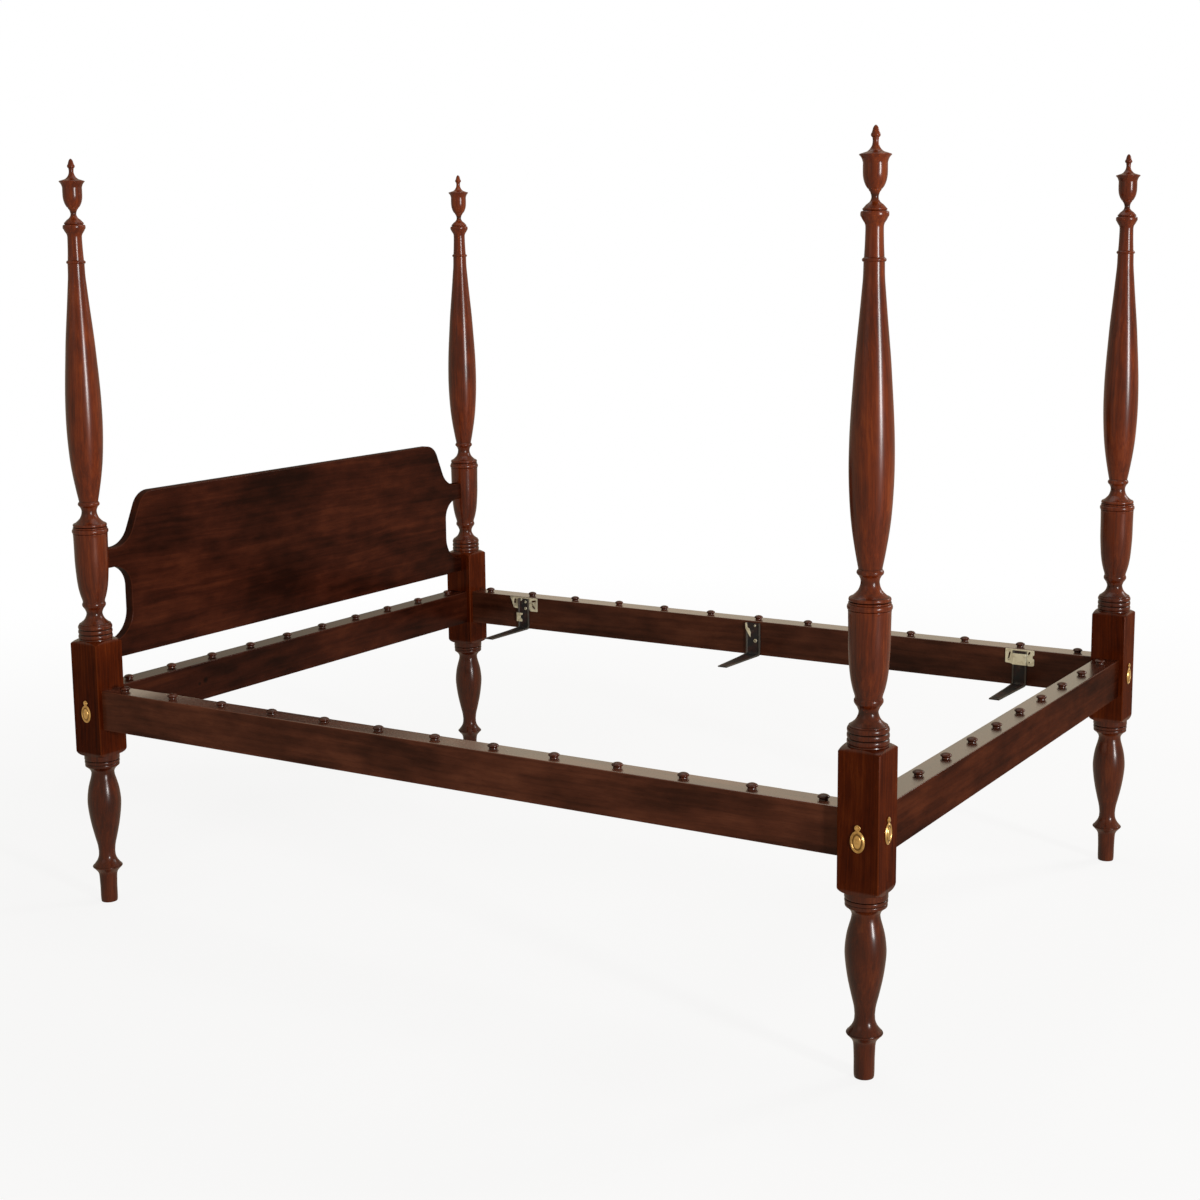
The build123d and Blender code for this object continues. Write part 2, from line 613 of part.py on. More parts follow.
def hanger_plate(name, side, along, wide):
    """A plate on a side rail whose raised pocket holds the top of a hanger iron's strap."""
    rail_face = side * (HALF_WIDTH - RAIL_THICK / 2)
    plate_top = RAIL_TOP - PLATE_BELOW_RAIL_TOP
    face = Plane(origin=(along, rail_face, plate_top), x_dir=(side, 0, 0), z_dir=(0, -side, 0))
    strap_below_plate = IRON_STRAP_BELOW_RAIL_TOP - PLATE_BELOW_RAIL_TOP - POCKET_GAP
    with BuildPart() as plate:
        with BuildSketch(face):
            with Locations((0, -PLATE_HIGH / 2)):
                Rectangle(wide, PLATE_HIGH)
        extrude(amount=PLATE_THICK)
        with BuildSketch(face):
            with Locations((0, -POCKET_HIGH / 2)):
                Rectangle(POCKET_WIDE, POCKET_HIGH)
        extrude(amount=POCKET_PROUD)
        with BuildSketch(face):
            with Locations((0, -(strap_below_plate + PLATE_HIGH) / 2)):
                Rectangle(IRON_WIDE + 2 * POCKET_GAP, PLATE_HIGH - strap_below_plate)
        extrude(amount=IRON_THICK + POCKET_GAP, mode=Mode.SUBTRACT)
    plate.part.label = name
    export_step(plate.part, f"parts/{name}.step")


ENDS = (("head", -1), ("foot", 1))
SIDES = (("right", -1), ("left", 1))

for end_name, end in ENDS:
    for side_name, side in SIDES:
        bed_post(f"post_{end_name}_{side_name}", end, side)
        post_finial(f"finial_{end_name}_{side_name}", end, side)
        end_face, side_face = outer_faces(end, side)
        bolt_cover(f"bolt_cover_{end_name}_{side_name}_end", end_face)
        bolt_cover(f"bolt_cover_{end_name}_{side_name}_side", side_face)

headboard()

for side_name, side in SIDES:
    middle = Plane(origin=(0, side * HALF_WIDTH, RAIL_MIDDLE), x_dir=(1, 0, 0), z_dir=(0, 0, 1))
    bed_rail(f"side_rail_{side_name}", middle, SHOULDER_X, SIDE_BOLT_Z)
    knob_row(f"rope_knobs_{side_name}", middle.offset(RAIL_HIGH / 2), SIDE_KNOBS, SIDE_KNOB_PITCH)
    hanger_iron(f"hanger_iron_{side_name}_head", side, -HANGER_FROM_MIDDLE)
    hanger_iron(f"hanger_iron_{side_name}_middle", side, 0)
    hanger_iron(f"hanger_iron_{side_name}_foot", side, HANGER_FROM_MIDDLE)
    hanger_plate(f"hanger_plate_{side_name}_head", side, -HANGER_FROM_MIDDLE, PLATE_WIDE_HEAD_END)
    hanger_plate(f"hanger_plate_{side_name}_foot", side, HANGER_FROM_MIDDLE, PLATE_WIDE_FOOT_END)

for end_name, end in ENDS:
    middle = Plane(origin=(end * HALF_LENGTH, 0, RAIL_MIDDLE), x_dir=(0, 1, 0), z_dir=(0, 0, 1))
    bed_rail(f"{end_name}_rail", middle, SHOULDER_Y, END_BOLT_Z)
    knob_row(f"rope_knobs_{end_name}", middle.offset(RAIL_HIGH / 2), END_KNOBS, END_KNOB_PITCH)

side_bolt_seats, end_bolt_seats = bolt_seats()
bed_bolts("bed_bolts_side", side_bolt_seats)
bed_bolts("bed_bolts_end", end_bolt_seats)
bolt_washers(side_bolt_seats + end_bolt_seats)
bolt_nuts(side_bolt_seats + end_bolt_seats)
cover_pins([face for end_name, end in ENDS for side_name, side in SIDES for face in outer_faces(end, side)])
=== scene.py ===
import math

import bmesh
import bpy
from mathutils import Matrix, Vector


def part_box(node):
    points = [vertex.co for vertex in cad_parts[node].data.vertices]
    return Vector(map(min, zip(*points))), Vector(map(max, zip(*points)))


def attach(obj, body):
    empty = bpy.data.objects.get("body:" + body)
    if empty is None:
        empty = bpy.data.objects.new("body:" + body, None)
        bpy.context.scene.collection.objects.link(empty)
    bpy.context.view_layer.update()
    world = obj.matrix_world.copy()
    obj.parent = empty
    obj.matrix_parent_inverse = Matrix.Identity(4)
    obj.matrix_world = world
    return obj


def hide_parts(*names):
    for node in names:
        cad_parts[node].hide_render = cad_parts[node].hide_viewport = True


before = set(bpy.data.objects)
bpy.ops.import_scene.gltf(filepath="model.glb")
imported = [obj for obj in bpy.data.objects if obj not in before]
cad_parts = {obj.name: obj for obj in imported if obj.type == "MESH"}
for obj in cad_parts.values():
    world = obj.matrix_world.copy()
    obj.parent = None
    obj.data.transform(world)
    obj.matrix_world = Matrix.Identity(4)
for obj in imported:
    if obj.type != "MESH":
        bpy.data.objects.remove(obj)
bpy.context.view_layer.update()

# Sizes and places in this script are in millimetres, and MM turns them into the frame's metres.
MM = 0.001
RIGHT_SIDE, LEFT_SIDE = -1, 1
HEAD_END, FOOT_END = -1, 1
ENDS = (("head", HEAD_END), ("foot", FOOT_END))
SIDES = (("right", RIGHT_SIDE), ("left", LEFT_SIDE))
UP = Vector((0, 0, 1))


def box_of(node):
    """The lowest and highest corner of a CAD node, in millimetres."""
    low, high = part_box(node)
    return low / MM, high / MM


# Places that come from the frame.
post_low, post_high = box_of("post_foot_left")
BLOCK_HALF = (post_high.x - post_low.x) / 2
POST_X = (post_high.x + post_low.x) / 2
POST_Y = (post_high.y + post_low.y) / 2
_, rail_high = box_of("side_rail_left")
RAIL_TOP = rail_high.z
RAIL_HALF_THICK = rail_high.y - POST_Y

# Turned members of a post from the floor up. Each is one smooth run of (height, radius),
# and members meet in crisp corners.
LOWER_MEMBERS = (
    ("foot", ((0, 19.9), (3, 20.6), (12, 21.1), (40, 21.3), (66, 22.2))),
    ("toe cove", ((66, 22.2), (74, 23.2), (80, 25.6), (86, 30.5), (91, 35.2), (92.4, 36.6))),
    ("toe ring", ((92.4, 36.6), (93.4, 37.3), (94.6, 37.4), (95.6, 36.8))),
    ("toe groove", ((95.6, 35.9), (96.3, 35.7), (96.6, 36.0))),
    ("ankle cove", ((96.6, 35.4), (100, 32.7), (105, 28.8), (110, 25.5), (120, 21.6), (133, 20.5))),
    (
        "leg vase",
        (
            (133, 20.5), (150, 22.3), (175, 28.1), (208, 35.2), (240, 40.0), (265, 41.9),
            (284, 40.8), (304, 37.8), (320, 33.7), (334, 29.8), (343, 28.5),
        ),
    ),
    ("leg cap", ((343, 28.5), (349, 30.2), (354, 33.6), (358, 37.6), (360, 40.1))),
    ("lower cap ring", ((360, 40.1), (361.6, 42.3), (365, 42.9), (367.6, 42.5), (368.7, 41.6))),
    ("upper cap ring", ((368.7, 41.6), (370, 43.1), (373, 43.6), (376.2, 43.1), (377.4, 41.5))),
    ("collar", ((377.4, 41.5), (379.4, 43.7), (386, 43.9), (402, 43.9))),
)
UPPER_MEMBERS = (
    ("block neck", ((680, 41.2), (690, 41.0), (693, 40.4))),
    ("stack ring", ((693, 40.0), (695, 41.6), (699, 42.3), (703, 41.6), (705, 40.0))),
    ("stack ring", ((705, 40.0), (707, 41.6), (711, 42.3), (715, 41.6), (717, 40.0))),
    ("stack ring", ((717, 40.0), (719, 41.5), (723, 42.1), (727, 41.0), (728.4, 39.6))),
    ("cup lip", ((728.4, 38.5), (729.3, 39.2), (730.8, 38.9), (731.8, 37.4))),
    (
        "cup stem",
        ((731.8, 36.4), (736, 31.4), (740, 26.9), (748, 22.0), (758, 19.6), (768, 23.2)),
    ),
    ("stem bead", ((768, 23.2), (772, 26.2), (777, 29.0), (782, 28.9), (785.6, 27.2))),
    (
        "cup",
        (
            (785.6, 27.2), (790, 27.7), (801, 31.1), (818, 35.1), (837, 37.9), (859, 39.7),
            (886, 41.2), (930, 41.75), (957, 42.2),
        ),
    ),
    ("cup rim", ((957, 42.2), (960, 42.6), (961.4, 41.4))),
    ("big ring", ((961.4, 41.6), (962.8, 43.7), (966.8, 44.6), (970.8, 43.7), (972.8, 41.6))),
    ("rim fillet", ((972.8, 41.2), (974.2, 42.2), (976.2, 42.0), (977.4, 40.0))),
    ("rim bead", ((977.4, 39.4), (979, 41.0), (982, 41.7), (985, 40.7), (986.4, 38.6))),
    ("cup cove", ((986.4, 36.9), (990, 32.3), (994, 28.0), (999, 23.5))),
    ("vase hollow", ((999, 23.5), (1007, 20.0), (1016, 18.5), (1022, 19.4), (1028.5, 22.7))),
    ("vase bead", ((1028.5, 22.7), (1030.6, 25.2), (1034.5, 26.7), (1038.4, 25.4), (1040.6, 23.6))),
    (
        "long vase",
        (
            (1040.6, 23.2), (1060, 27.0), (1084, 31.3), (1112, 35.7), (1141, 39.2), (1176, 41.9),
            (1216, 43.7), (1250, 44.15), (1302, 43.2), (1348, 41.0), (1394, 38.0), (1441, 34.8),
            (1484, 31.0), (1525, 27.2), (1570, 23.3), (1600, 20.9), (1628.7, 20.2),
        ),
    ),
    ("astragal", ((1628.7, 20.2), (1630.0, 22.3), (1632.4, 23.3), (1635.2, 22.4), (1637.2, 19.8))),
    ("post neck", ((1637.2, 19.4), (1660, 18.2), (1690, 17.4), (1696, 17.5))),
    ("capital cove", ((1696, 17.5), (1700.6, 18.8), (1706, 22.2), (1710.4, 24.6), (1713.0, 25.8))),
    ("capital", ((1713.0, 26.2), (1714.6, 27.0), (1719, 27.2), (1722.0, 26.6), (1723.4, 25.0))),
    ("cap seam", ((1723.4, 24.0), (1724.6, 21.3))),
    ("finial socket", ((1724.6, 7.2), (1723.6, 6.43), (1684.6, 6.43))),
)
FINIAL_MEMBERS = (
    ("spigot", ((1686.6, 5.2), (1687.8, 6.35), (1724.6, 6.35))),
    ("finial foot", ((1724.6, 21.3), (1725.2, 23.0), (1726.6, 23.5), (1728.4, 23.3))),
    (
        "finial stem",
        (
            (1728.4, 22.6), (1731, 20.4), (1735.5, 16.2), (1740, 10.6), (1745, 7.7), (1750, 6.9),
            (1756, 8.3), (1760.4, 10.2),
        ),
    ),
    ("stem fillet", ((1760.4, 11.0), (1762, 11.9), (1764.2, 12.2))),
    ("urn", ((1764.2, 13.4), (1769, 17.0), (1778, 20.9), (1788, 23.0), (1800, 23.5), (1813, 23.4))),
    ("urn flare", ((1813, 23.4), (1818.5, 25.0), (1822, 26.6), (1825.6, 29.3))),
    ("urn lip", ((1825.6, 29.6), (1826.6, 30.5), (1827.8, 30.8), (1829.2, 29.2))),
    (
        "cover cove",
        (
            (1829.2, 28.6), (1831.3, 22.0), (1833.5, 15.7), (1838.5, 10.2), (1845, 6.8), (1852, 5.7),
            (1859.4, 6.4),
        ),
    ),
    ("acorn ring", ((1859.4, 7.0), (1861.4, 8.8), (1864, 9.2), (1866.4, 8.6), (1868, 7.6))),
    ("acorn", ((1868, 7.4), (1873, 6.1), (1877, 4.9), (1880, 3.0), (1881.6, 1.2), (1882, 0.2))),
)

# The square block of a post and the shoulders turned on its ends.
BLOCK_EDGE_RADIUS = 62.3
SHOULDER_RADIUS = 45.3
# Shoulders: (height of the neck, height of the corners, how far the profile rolls over).
LOWER_SHOULDER = (393, 405, 1.0)
UPPER_SHOULDER = (690.6, 681.5, 0.35)
SHOULDER_STEPS = 14
FLAT_PLACES = (-1.0, -0.97, -0.6, -0.2, 0.2, 0.6, 0.97, 1.0)
CORNER_STEPS = 12
NARROW_CORNER = math.radians(6)

# Bolts: the side rails' go through the posts' end faces, and the others through the side faces.
COUNTERBORE_RADIUS = 12.5
COUNTERBORE_DEEP = 14
BORE_TURNS = 48
NUT_FROM_SHOULDER = 80
NUT_SLOT_LONG = 9
NUT_SLOT_WIDE = 17
NUT_SLOT_ABOVE_BOLT = 8.5

# How finely the turning is drawn, how narrow and deep a groove is that holds darker staining and
# painted shade, and how wide and deep a cove is that holds painted shade.
LATHE_TURNS = 96
POST_STEP = 4.0
FINIAL_STEP = 1.6
MEMBER_STEPS = 10
CREASE_ANGLE = math.radians(32)
MERGE_WITHIN = 0.01 * MM
GROOVE_REACH = 5
GROOVE_DEEP = 1.8
SHADED_COVE_REACH = 22
SHADED_COVE_DEEP = 22

# Headboard, seen from the foot of the bed: heights above the floor and half widths.
BOARD_HALF_THICK = 13
BOARD_FOOT = 631
BOARD_TOP = 1048
TOP_FLAT_HALF = 590
TOP_CORNER_RADIUS = 56
TOP_COVE_RADIUS = 68
COVE_END_HALF = 730
EAR_TOP = 915.5
EAR_FOOT = 865.5
WAIST_HALF = 680.5
NOTCH_TOP_RADIUS = 56.5
NOTCH_FOOT_RADIUS = 72
FOOT_TENON_HIGH = 45
BOARD_END_SHORT = 24
BOARD_END_HALF = POST_Y - BOARD_END_SHORT
ARC_STEPS = 18

# Eased edges of the headboard and the rails.
BOARD_EASE = 3.2
RAIL_EASE = 3.0
EASE_STEPS = 5
EASE_SUPPORT = 0.5
SHARPEST_MITRE = 0.5

# Rope knobs: (height above the rail, radius).
KNOB_PROFILE = (
    (-1.0, 9.6), (0.0, 9.6), (0.9, 9.2), (2.2, 9.1), (3.4, 9.9), (4.3, 11.5), (5.2, 12.4), (6.3, 12.7),
    (7.4, 12.5), (8.6, 11.6), (10.0, 9.6), (11.2, 6.9), (12.0, 3.6), (12.3, 0.2),
)
KNOB_TURNS = 28
SIDE_KNOBS = 13
SIDE_KNOB_PITCH = 161
END_KNOBS = 10
END_KNOB_PITCH = 154.2

# Bolt covers: rings of (half width, half height, how far they stand off the post).
COVER_RINGS = (
    (15.6, 22.1, 0.3), (16.0, 22.5, 0.6), (16.0, 22.5, 1.3), (15.5, 22.0, 1.7), (14.3, 20.8, 1.8),
    (13.9, 20.4, 2.3), (13.2, 19.7, 2.9), (12.5, 19.0, 2.7), (12.2, 18.7, 2.3), (11.9, 18.4, 2.7),
    (11.2, 17.7, 2.9), (10.5, 17.0, 2.3), (10.1, 16.5, 1.6), (9.0, 15.0, 1.5), (8.2, 13.8, 1.7),
    (8.0, 13.5, 2.6), (7.4, 12.8, 3.4), (6.2, 11.2, 4.1), (4.4, 8.2, 4.5), (2.6, 4.2, 4.7),
    (2.3, 2.7, 4.8), (1.9, 2.1, 5.2), (1.1, 1.2, 5.6), (0.2, 0.2, 5.7),
)
COVER_TURNS = 40
EYE_ABOVE_CENTRE = 28
# Eyes and pins: rings of (radius, stand-off).
EYE_RINGS = (
    (6.1, 0.3), (6.5, 0.7), (6.5, 1.8), (6.1, 2.4), (5.6, 2.6), (4.3, 2.6), (4.1, 2.5), (0.2, 2.5),
)
PIN_RINGS = ((2.0, -4.0), (2.0, 2.4), (4.0, 2.4), (4.0, 3.0), (3.6, 3.8), (2.4, 4.3), (0.2, 4.45))
NECK_HALF_WIDE = 3.4
NECK_BOTTOM = 20
NECK_TOP = 24
NECK_BACK = 0.4
NECK_EDGE = 1.6
NECK_FRONT = 2.2
NECK_CHAMFER = 0.8
STAMPED_GROOVE_REACH = 2.5
STAMPED_GROOVE_DEEP = 1.2
END_FACE_COVER_HIGH = 516
SIDE_FACE_COVER_HIGH = 504

# Hanger irons and plates on the inner faces of the side rails.
HANGER_PLACES = (("head", -816), ("middle", 0), ("foot", 816))
IRON_HALF_WIDE = {"head": 20, "middle": 23, "foot": 20}
IRON_TIP_HALF_WIDE = 14
IRON_THICK = 3
IRON_RIB_WIDE = 4
IRON_RIB_SLOPE = 1.6
IRON_RIB_PROUD = 2.0
IRON_TIP_RIB_PROUD = 0.5
IRON_TOP = 560
IRON_ARM_TOP = 466.5
IRON_ARM_LONG = 196
IRON_BEND_RADIUS = 8
IRON_BEND_STEPS = 8
IRON_ARM_STATIONS = (60, 120, 170, 190, IRON_ARM_LONG)
IRON_RIB_FADE = 60
IRON_CREASE = math.radians(20)
# The iron's section has worn ribs and plain flats.
IRON_RELIEF = [0.0, 0.0, -1.0, -1.0, 0.0, 0.0, -1.0, -1.0]
PLATE_TOP = 564
PLATE_THICK = 2
PLATE_EDGE = 0.4
PLATE_OUTLINES = {
    "head": ((-52, 0), (52, 0), (52, -43), (24, -43), (20, -36), (-20, -36), (-24, -37), (-38, -35)),
    "foot": (
        (-41, 0), (41, 0), (41, -13), (36, -15), (36, -22), (41, -24), (41, -41), (37, -44), (22, -44),
        (20, -38), (-20, -38), (-23, -41), (-41, -39),
    ),
}
PLATE_CORNER = 2.5
ROUND_SHARES = (0.0, 0.25, 0.5, 0.75, 1.0)
# Slots and holes: (across, down, half length, radius, lean in degrees).
PLATE_HOLES = {
    "head": ((-33, -14, 5, 3.2, 80), (38, -10, 6, 2.6, 15), (37, -29, 4, 3.0, -40)),
    "foot": ((-30, -19, 9, 2.2, 78), (26, -9, 3, 2.4, 60)),
}
POCKET_HALF_WIDE = 19.5
POCKET_TOP_DOWN = 11
POCKET_FOOT_DOWN = 42
POCKET_PROUD = 7.4
POCKET_ROUND = 1.2
POCKET_DROP = 1.0
POCKET_FLARE = 0.4
POCKET_TOE = 2.5
POCKET_FOOT = 4
POCKET_SINK = 0.6
PLATE_CREASE = math.radians(25)
SLOT_END_STEPS = 8
# Screw heads: (across, down from the plate's top, how far out they sit, radius).
SCREWS = {
    "head": ((-9, -8, 2.9, 3.4), (8, -14, 2.9, 4.0), (8, -35, 2.9, 4.6), (36, -20, 2.0, 4.0)),
    "middle": ((7, -57, 2.9, 5.6), (6, -12, 2.9, 3.4)),
    "foot": ((28, -33, 2.0, 5.0), (-30, -30, 2.0, 3.6)),
}
# Rings of a screw's head and its socket: (radius, height), as shares of the head's radius.
SCREW_RING_SHARES = (
    (1.0, -0.8), (1.0, 0.1), (0.88, 0.3), (0.6, 0.42), (0.42, 0.42), (0.34, 0.1), (0.04, 0.1),
)
# The socket's rings are marked so that they take a painted shade.
SCREW_RELIEF = [0.0, 0.0, 0.0, 0.0, 0.0, 1.0, 1.0]
SCREW_TURNS = 24
# Odd scraps of zinc that show beside two of the irons: corners as (across, down).
SCRAPS = {
    "head": (
        (-25, -50), (-2, -50), (-3, -56), (-10, -58), (-10, -67), (-4, -70), (-4, -78), (-25, -78),
    ),
    "middle": (
        (-25, -5), (-20, -5), (-18, -18), (-12, -21), (-7, -34), (-8, -48), (-13, -41), (-19, -31),
        (-25, -21),
    ),
}
SCRAP_CORNER = 1.2
SCRAP_OUT = 3.6

# A height in metres that no piece reaches.
OUT_OF_REACH = 1000.0

# The studio, in metres.
WORLD_LIGHT = 0.26
WARM_WHITE = (1.0, 0.87, 0.66)
FLOOR_REACH = 30.0
FLOOR_TONES = ((0.84, 0.84, 0.84), (0.88, 0.88, 0.88))
FLOOR_WHITE_BY_BED = 0.86
FLOOR_FADE = (1.2, 5.0)

# The camera: its place and lens in millimetres, and the farthest that it sees in metres.
CAMERA_PLACE = (2554.4, -4190.2, 1668.2)
CAMERA_YAW = math.radians(121.36613)
CAMERA_PITCH = math.radians(-9.20030)
CAMERA_ROLL = math.radians(-0.49824)
CAMERA_LENS = 57.715
CAMERA_SENSOR = 36
CAMERA_FARTHEST = 100
CAMERA_SHIFT = (-0.01451, -0.03793)


# Shaders


def is_single(term):
    """Whether a term is one number, and not a triple."""
    return isinstance(term, (int, float)) or (isinstance(term, Value) and term.socket.type == "VALUE")


class Value:
    """A socket of a shader, so that what it feeds can be written as a plain sum."""

    def __init__(self, shader, socket):
        self.shader = shader
        self.socket = socket

    def worked(self, operation, *terms):
        """The result of one Math or Vector Math node on sockets, numbers and triples."""
        flat = all(is_single(t) for t in terms)
        kind = "ShaderNodeMath" if flat else "ShaderNodeVectorMath"
        if not flat:
            terms = [(t, t, t) if isinstance(t, (int, float)) else t for t in terms]
        return self.shader.node(kind, {"operation": operation}, dict(enumerate(terms)))

    def __add__(self, other):
        return self.worked("ADD", self, other)

    def __radd__(self, other):
        return self.worked("ADD", other, self)

    def __sub__(self, other):
        return self.worked("SUBTRACT", self, other)

    def __rsub__(self, other):
        return self.worked("SUBTRACT", other, self)

    def __mul__(self, other):
        return self.worked("MULTIPLY", self, other)

    def __rmul__(self, other):
        return self.worked("MULTIPLY", other, self)

    def rise(self, low, high):
        """0 below low, 1 above high and a smooth rise between them."""
        settings = {"interpolation_type": "SMOOTHSTEP", "clamp": True}
        sockets = {"Value": self, "From Min": low, "From Max": high}
        return self.shader.node("ShaderNodeMapRange", settings, sockets, "Result")


class Shader:
    """The node tree of one finish or of the world."""

    def __init__(self, tree):
        self.tree = tree
        tree.nodes.clear()

    def node(self, kind, settings, sockets, output=0):
        """Adds a node, sets its settings and then its sockets, and gives one of its outputs."""
        made = self.tree.nodes.new(kind)
        for name, value in settings.items():
            setattr(made, name, value)
        for name, value in sockets.items():
            socket = made.inputs[name]
            if isinstance(value, Value):
                self.tree.links.new(value.socket, socket)
            elif socket.type == "RGBA":
                socket.default_value = (*value, 1.0)
            else:
                socket.default_value = value
        return Value(self, made.outputs[output]) if len(made.outputs) else None

    def place(self):
        """Where a point is on the bed, in metres."""
        return self.node("ShaderNodeTexCoord", {}, {}, "Object")

    def relief(self):
        """1 in a groove, 0 on plain ground and -1 on a rubbed edge."""
        return self.node("ShaderNodeAttribute", {"attribute_name": RELIEF}, {}, "Fac")

    def distance(self, at, place=(0.0, 0.0, 0.0)):
        """How far a point is from a place, in metres."""
        settings = {"operation": "DISTANCE"}
        return self.node("ShaderNodeVectorMath", settings, {0: at, 1: place}, "Value")

    def noise(self, at, scale, detail=2.0, rough=0.5, output="Fac"):
        """Cloudy noise from 0 to 1, or three such as a colour."""
        sockets = {"Vector": at, "Scale": scale, "Detail": detail, "Roughness": rough}
        return self.node("ShaderNodeTexNoise", {}, sockets, output)

    def mix(self, share, first, second):
        """The first colour at share 0 and the second at share 1."""
        settings = {"data_type": "RGBA", "blend_type": "MIX"}
        return self.node("ShaderNodeMix", settings, {0: share, 6: first, 7: second}, 2)

    def bump(self, height, distance):
        """A surface's small relief, where a height of 1 stands as far out as distance, in metres."""
        sockets = {"Strength": 1.0, "Distance": distance, "Height": height}
        return self.node("ShaderNodeBump", {}, sockets)


def finish(name, sockets_of):
    """A finish whose Principled shader gets the sockets that sockets_of(shader) works out."""
    material = bpy.data.materials.new(name)
    material.use_nodes = True
    shader = Shader(material.node_tree)
    surface = shader.node("ShaderNodeBsdfPrincipled", {}, sockets_of(shader), "BSDF")
    shader.node("ShaderNodeOutputMaterial", {}, {"Surface": surface})
    return material


def mahogany(
    name, grain_axis, tones, figure_shares, streaks=85.0, gloss=0.12, flat_gloss=None,
    polished_above=OUT_OF_REACH, top_gloss=1.0, coat_index=1.5, stain_and_shade=1.0, knots=(),
):
    """Lacquered mahogany whose grain runs along one axis of the bed.

    Tones are its dark, middle and light colours, and figure_shares say how much cloud, streak,
    flame and fibre its figure has, with so many streaks to the metre. Turned grooves are darker,
    stained deeper and with painted shade, turned coves are darker with painted shade, and the
    stained colour is rubbed thin on edges. Low on the bed a painted shade leaves only the given
    share of the colour. Gloss is the share of lacquer, and the flat sides of a post's block may
    have one of their own. A rail's top, above the given height in metres, has the top gloss, and
    coat_index says how strongly the lacquer reflects. A knot is a place and a radius in metres.
    """
    dark, middle, light = tones
    cloud_share, streak_share, flame_share, fibre_share = figure_shares

    def along(at, lengthwise, across):
        return at * tuple(lengthwise if axis == grain_axis else across for axis in range(3))

    def sockets_of(shader):
        straight = shader.place()
        sway = shader.noise(along(straight, *SWAY_PER_METRE), 1.0, output="Color") - 0.5
        curl = shader.noise(along(straight, *CURL_PER_METRE), 1.0, output="Color") - 0.5
        at = straight + sway * SWAY_REACH + curl * CURL_REACH
        cloud = shader.noise(along(at, *CLOUD_PER_METRE), 1.0, detail=3.0)
        streak = shader.noise(along(at, STREAK_PER_METRE, streaks), 1.0, detail=3.0, rough=0.55)
        flame = shader.noise(along(at, *FLAME_PER_METRE), 1.0)
        fibre = shader.noise(along(at, *FIBRE_PER_METRE), 1.0)
        pore = shader.noise(along(at, *PORE_PER_METRE), 1.0, detail=1.0).rise(low=0.60, high=0.72)
        relief = shader.relief()
        # Painted shade and deeper staining: turned grooves and coves are marked here to take the deep
        # colour.
        groove = relief.rise(low=0.05, high=0.75)
        rubbed = (0.0 - relief).rise(low=0.2, high=1.0)
        height = shader.node("ShaderNodeSeparateXYZ", {}, {"Vector": straight}, "Z")
        top = height.rise(polished_above - TOP_POLISH_FROM, polished_above - TOP_POLISH_TO)

        figure = cloud * cloud_share + streak * streak_share
        figure = figure + flame * flame_share + fibre * fibre_share
        deep = tuple(DEEP_SHARE * c for c in dark)
        colour = shader.mix(figure.rise(low=0.36, high=0.56), dark, middle)
        colour = shader.mix(figure.rise(low=0.50, high=0.66) * LIGHT_SHARE, colour, light)
        colour = shader.mix(pore * PORE_SHARE, colour, deep)
        for place, radius in knots:
            clear = shader.distance(at, place).rise(KNOT_CORE_SHARE * radius, radius)
            colour = shader.mix((1.0 - clear) * KNOT_SHARE, colour, deep)
        colour = shader.mix(rubbed * RUBBED_SHARE, colour, light)
        # Painted shade: low on the bed the colour darkens towards black and keeps only the given share,
        # where the light falls off.
        if stain_and_shade < 1.0:
            low_down = 1.0 - height.rise(*LOW_SHADE_HEIGHTS)
            colour = shader.mix(low_down * (1.0 - stain_and_shade), colour, (0.0, 0.0, 0.0))

        waves = fibre * FIBRE_HIGH - pore * PORE_DEEP
        waves = waves + shader.noise(straight, BRUSH_PER_METRE, detail=1.0) * BRUSH_HIGH
        shine = gloss
        if flat_gloss is not None:
            block = height.rise(BLOCK_FLAT_FROM, BLOCK_FLAT_FROM + BLOCK_FLAT_FADE)
            block = block * (1.0 - height.rise(BLOCK_FLAT_TO - BLOCK_FLAT_FADE, BLOCK_FLAT_TO))
            shine = gloss + block * (flat_gloss - gloss)
        return {
            # Grooves and coves take the deep colour: deeper staining in grooves, and painted shade in
            # both.
            "Base Color": shader.mix(groove * GROOVE_STAIN_AND_SHADE_SHARE, colour, deep),
            "Roughness": WOOD_ROUGHNESS + fibre * FIBRE_ROUGHNESS + pore * PORE_ROUGHNESS,
            "Specular IOR Level": 0.0,
            "Coat Weight": shine - pore * PORE_GLOSS_LOST + top * (top_gloss - gloss),
            "Coat Roughness": LACQUER_ROUGHNESS,
            "Coat IOR": coat_index,
            "Normal": shader.bump(waves * (1.0 - top * TOP_LEVELLED), MM),
        }

    return finish(name, sockets_of)


def polished_brass():
    """Stamped brass, darker where it has tarnished."""

    def sockets_of(shader):
        at = shader.place()
        groove = shader.relief().rise(low=0.1, high=0.8)
        tarnish = shader.noise(at, 140.0, detail=4.0, rough=0.6).rise(low=0.42, high=0.72)
        scratch = shader.noise(at * SCRATCHES_PER_METRE, 1.0)
        plain = shader.mix(tarnish * 0.7, BRASS, TARNISHED_BRASS)
        return {
            "Base Color": shader.mix(groove * 0.8, plain, DIRTY_BRASS),
            "Metallic": 1.0,
            "Roughness": 0.26 + tarnish * 0.16 + scratch * 0.06,
            "Normal": shader.bump(scratch * 0.015 + tarnish * 0.02, MM),
        }

    return finish("brass", sockets_of)


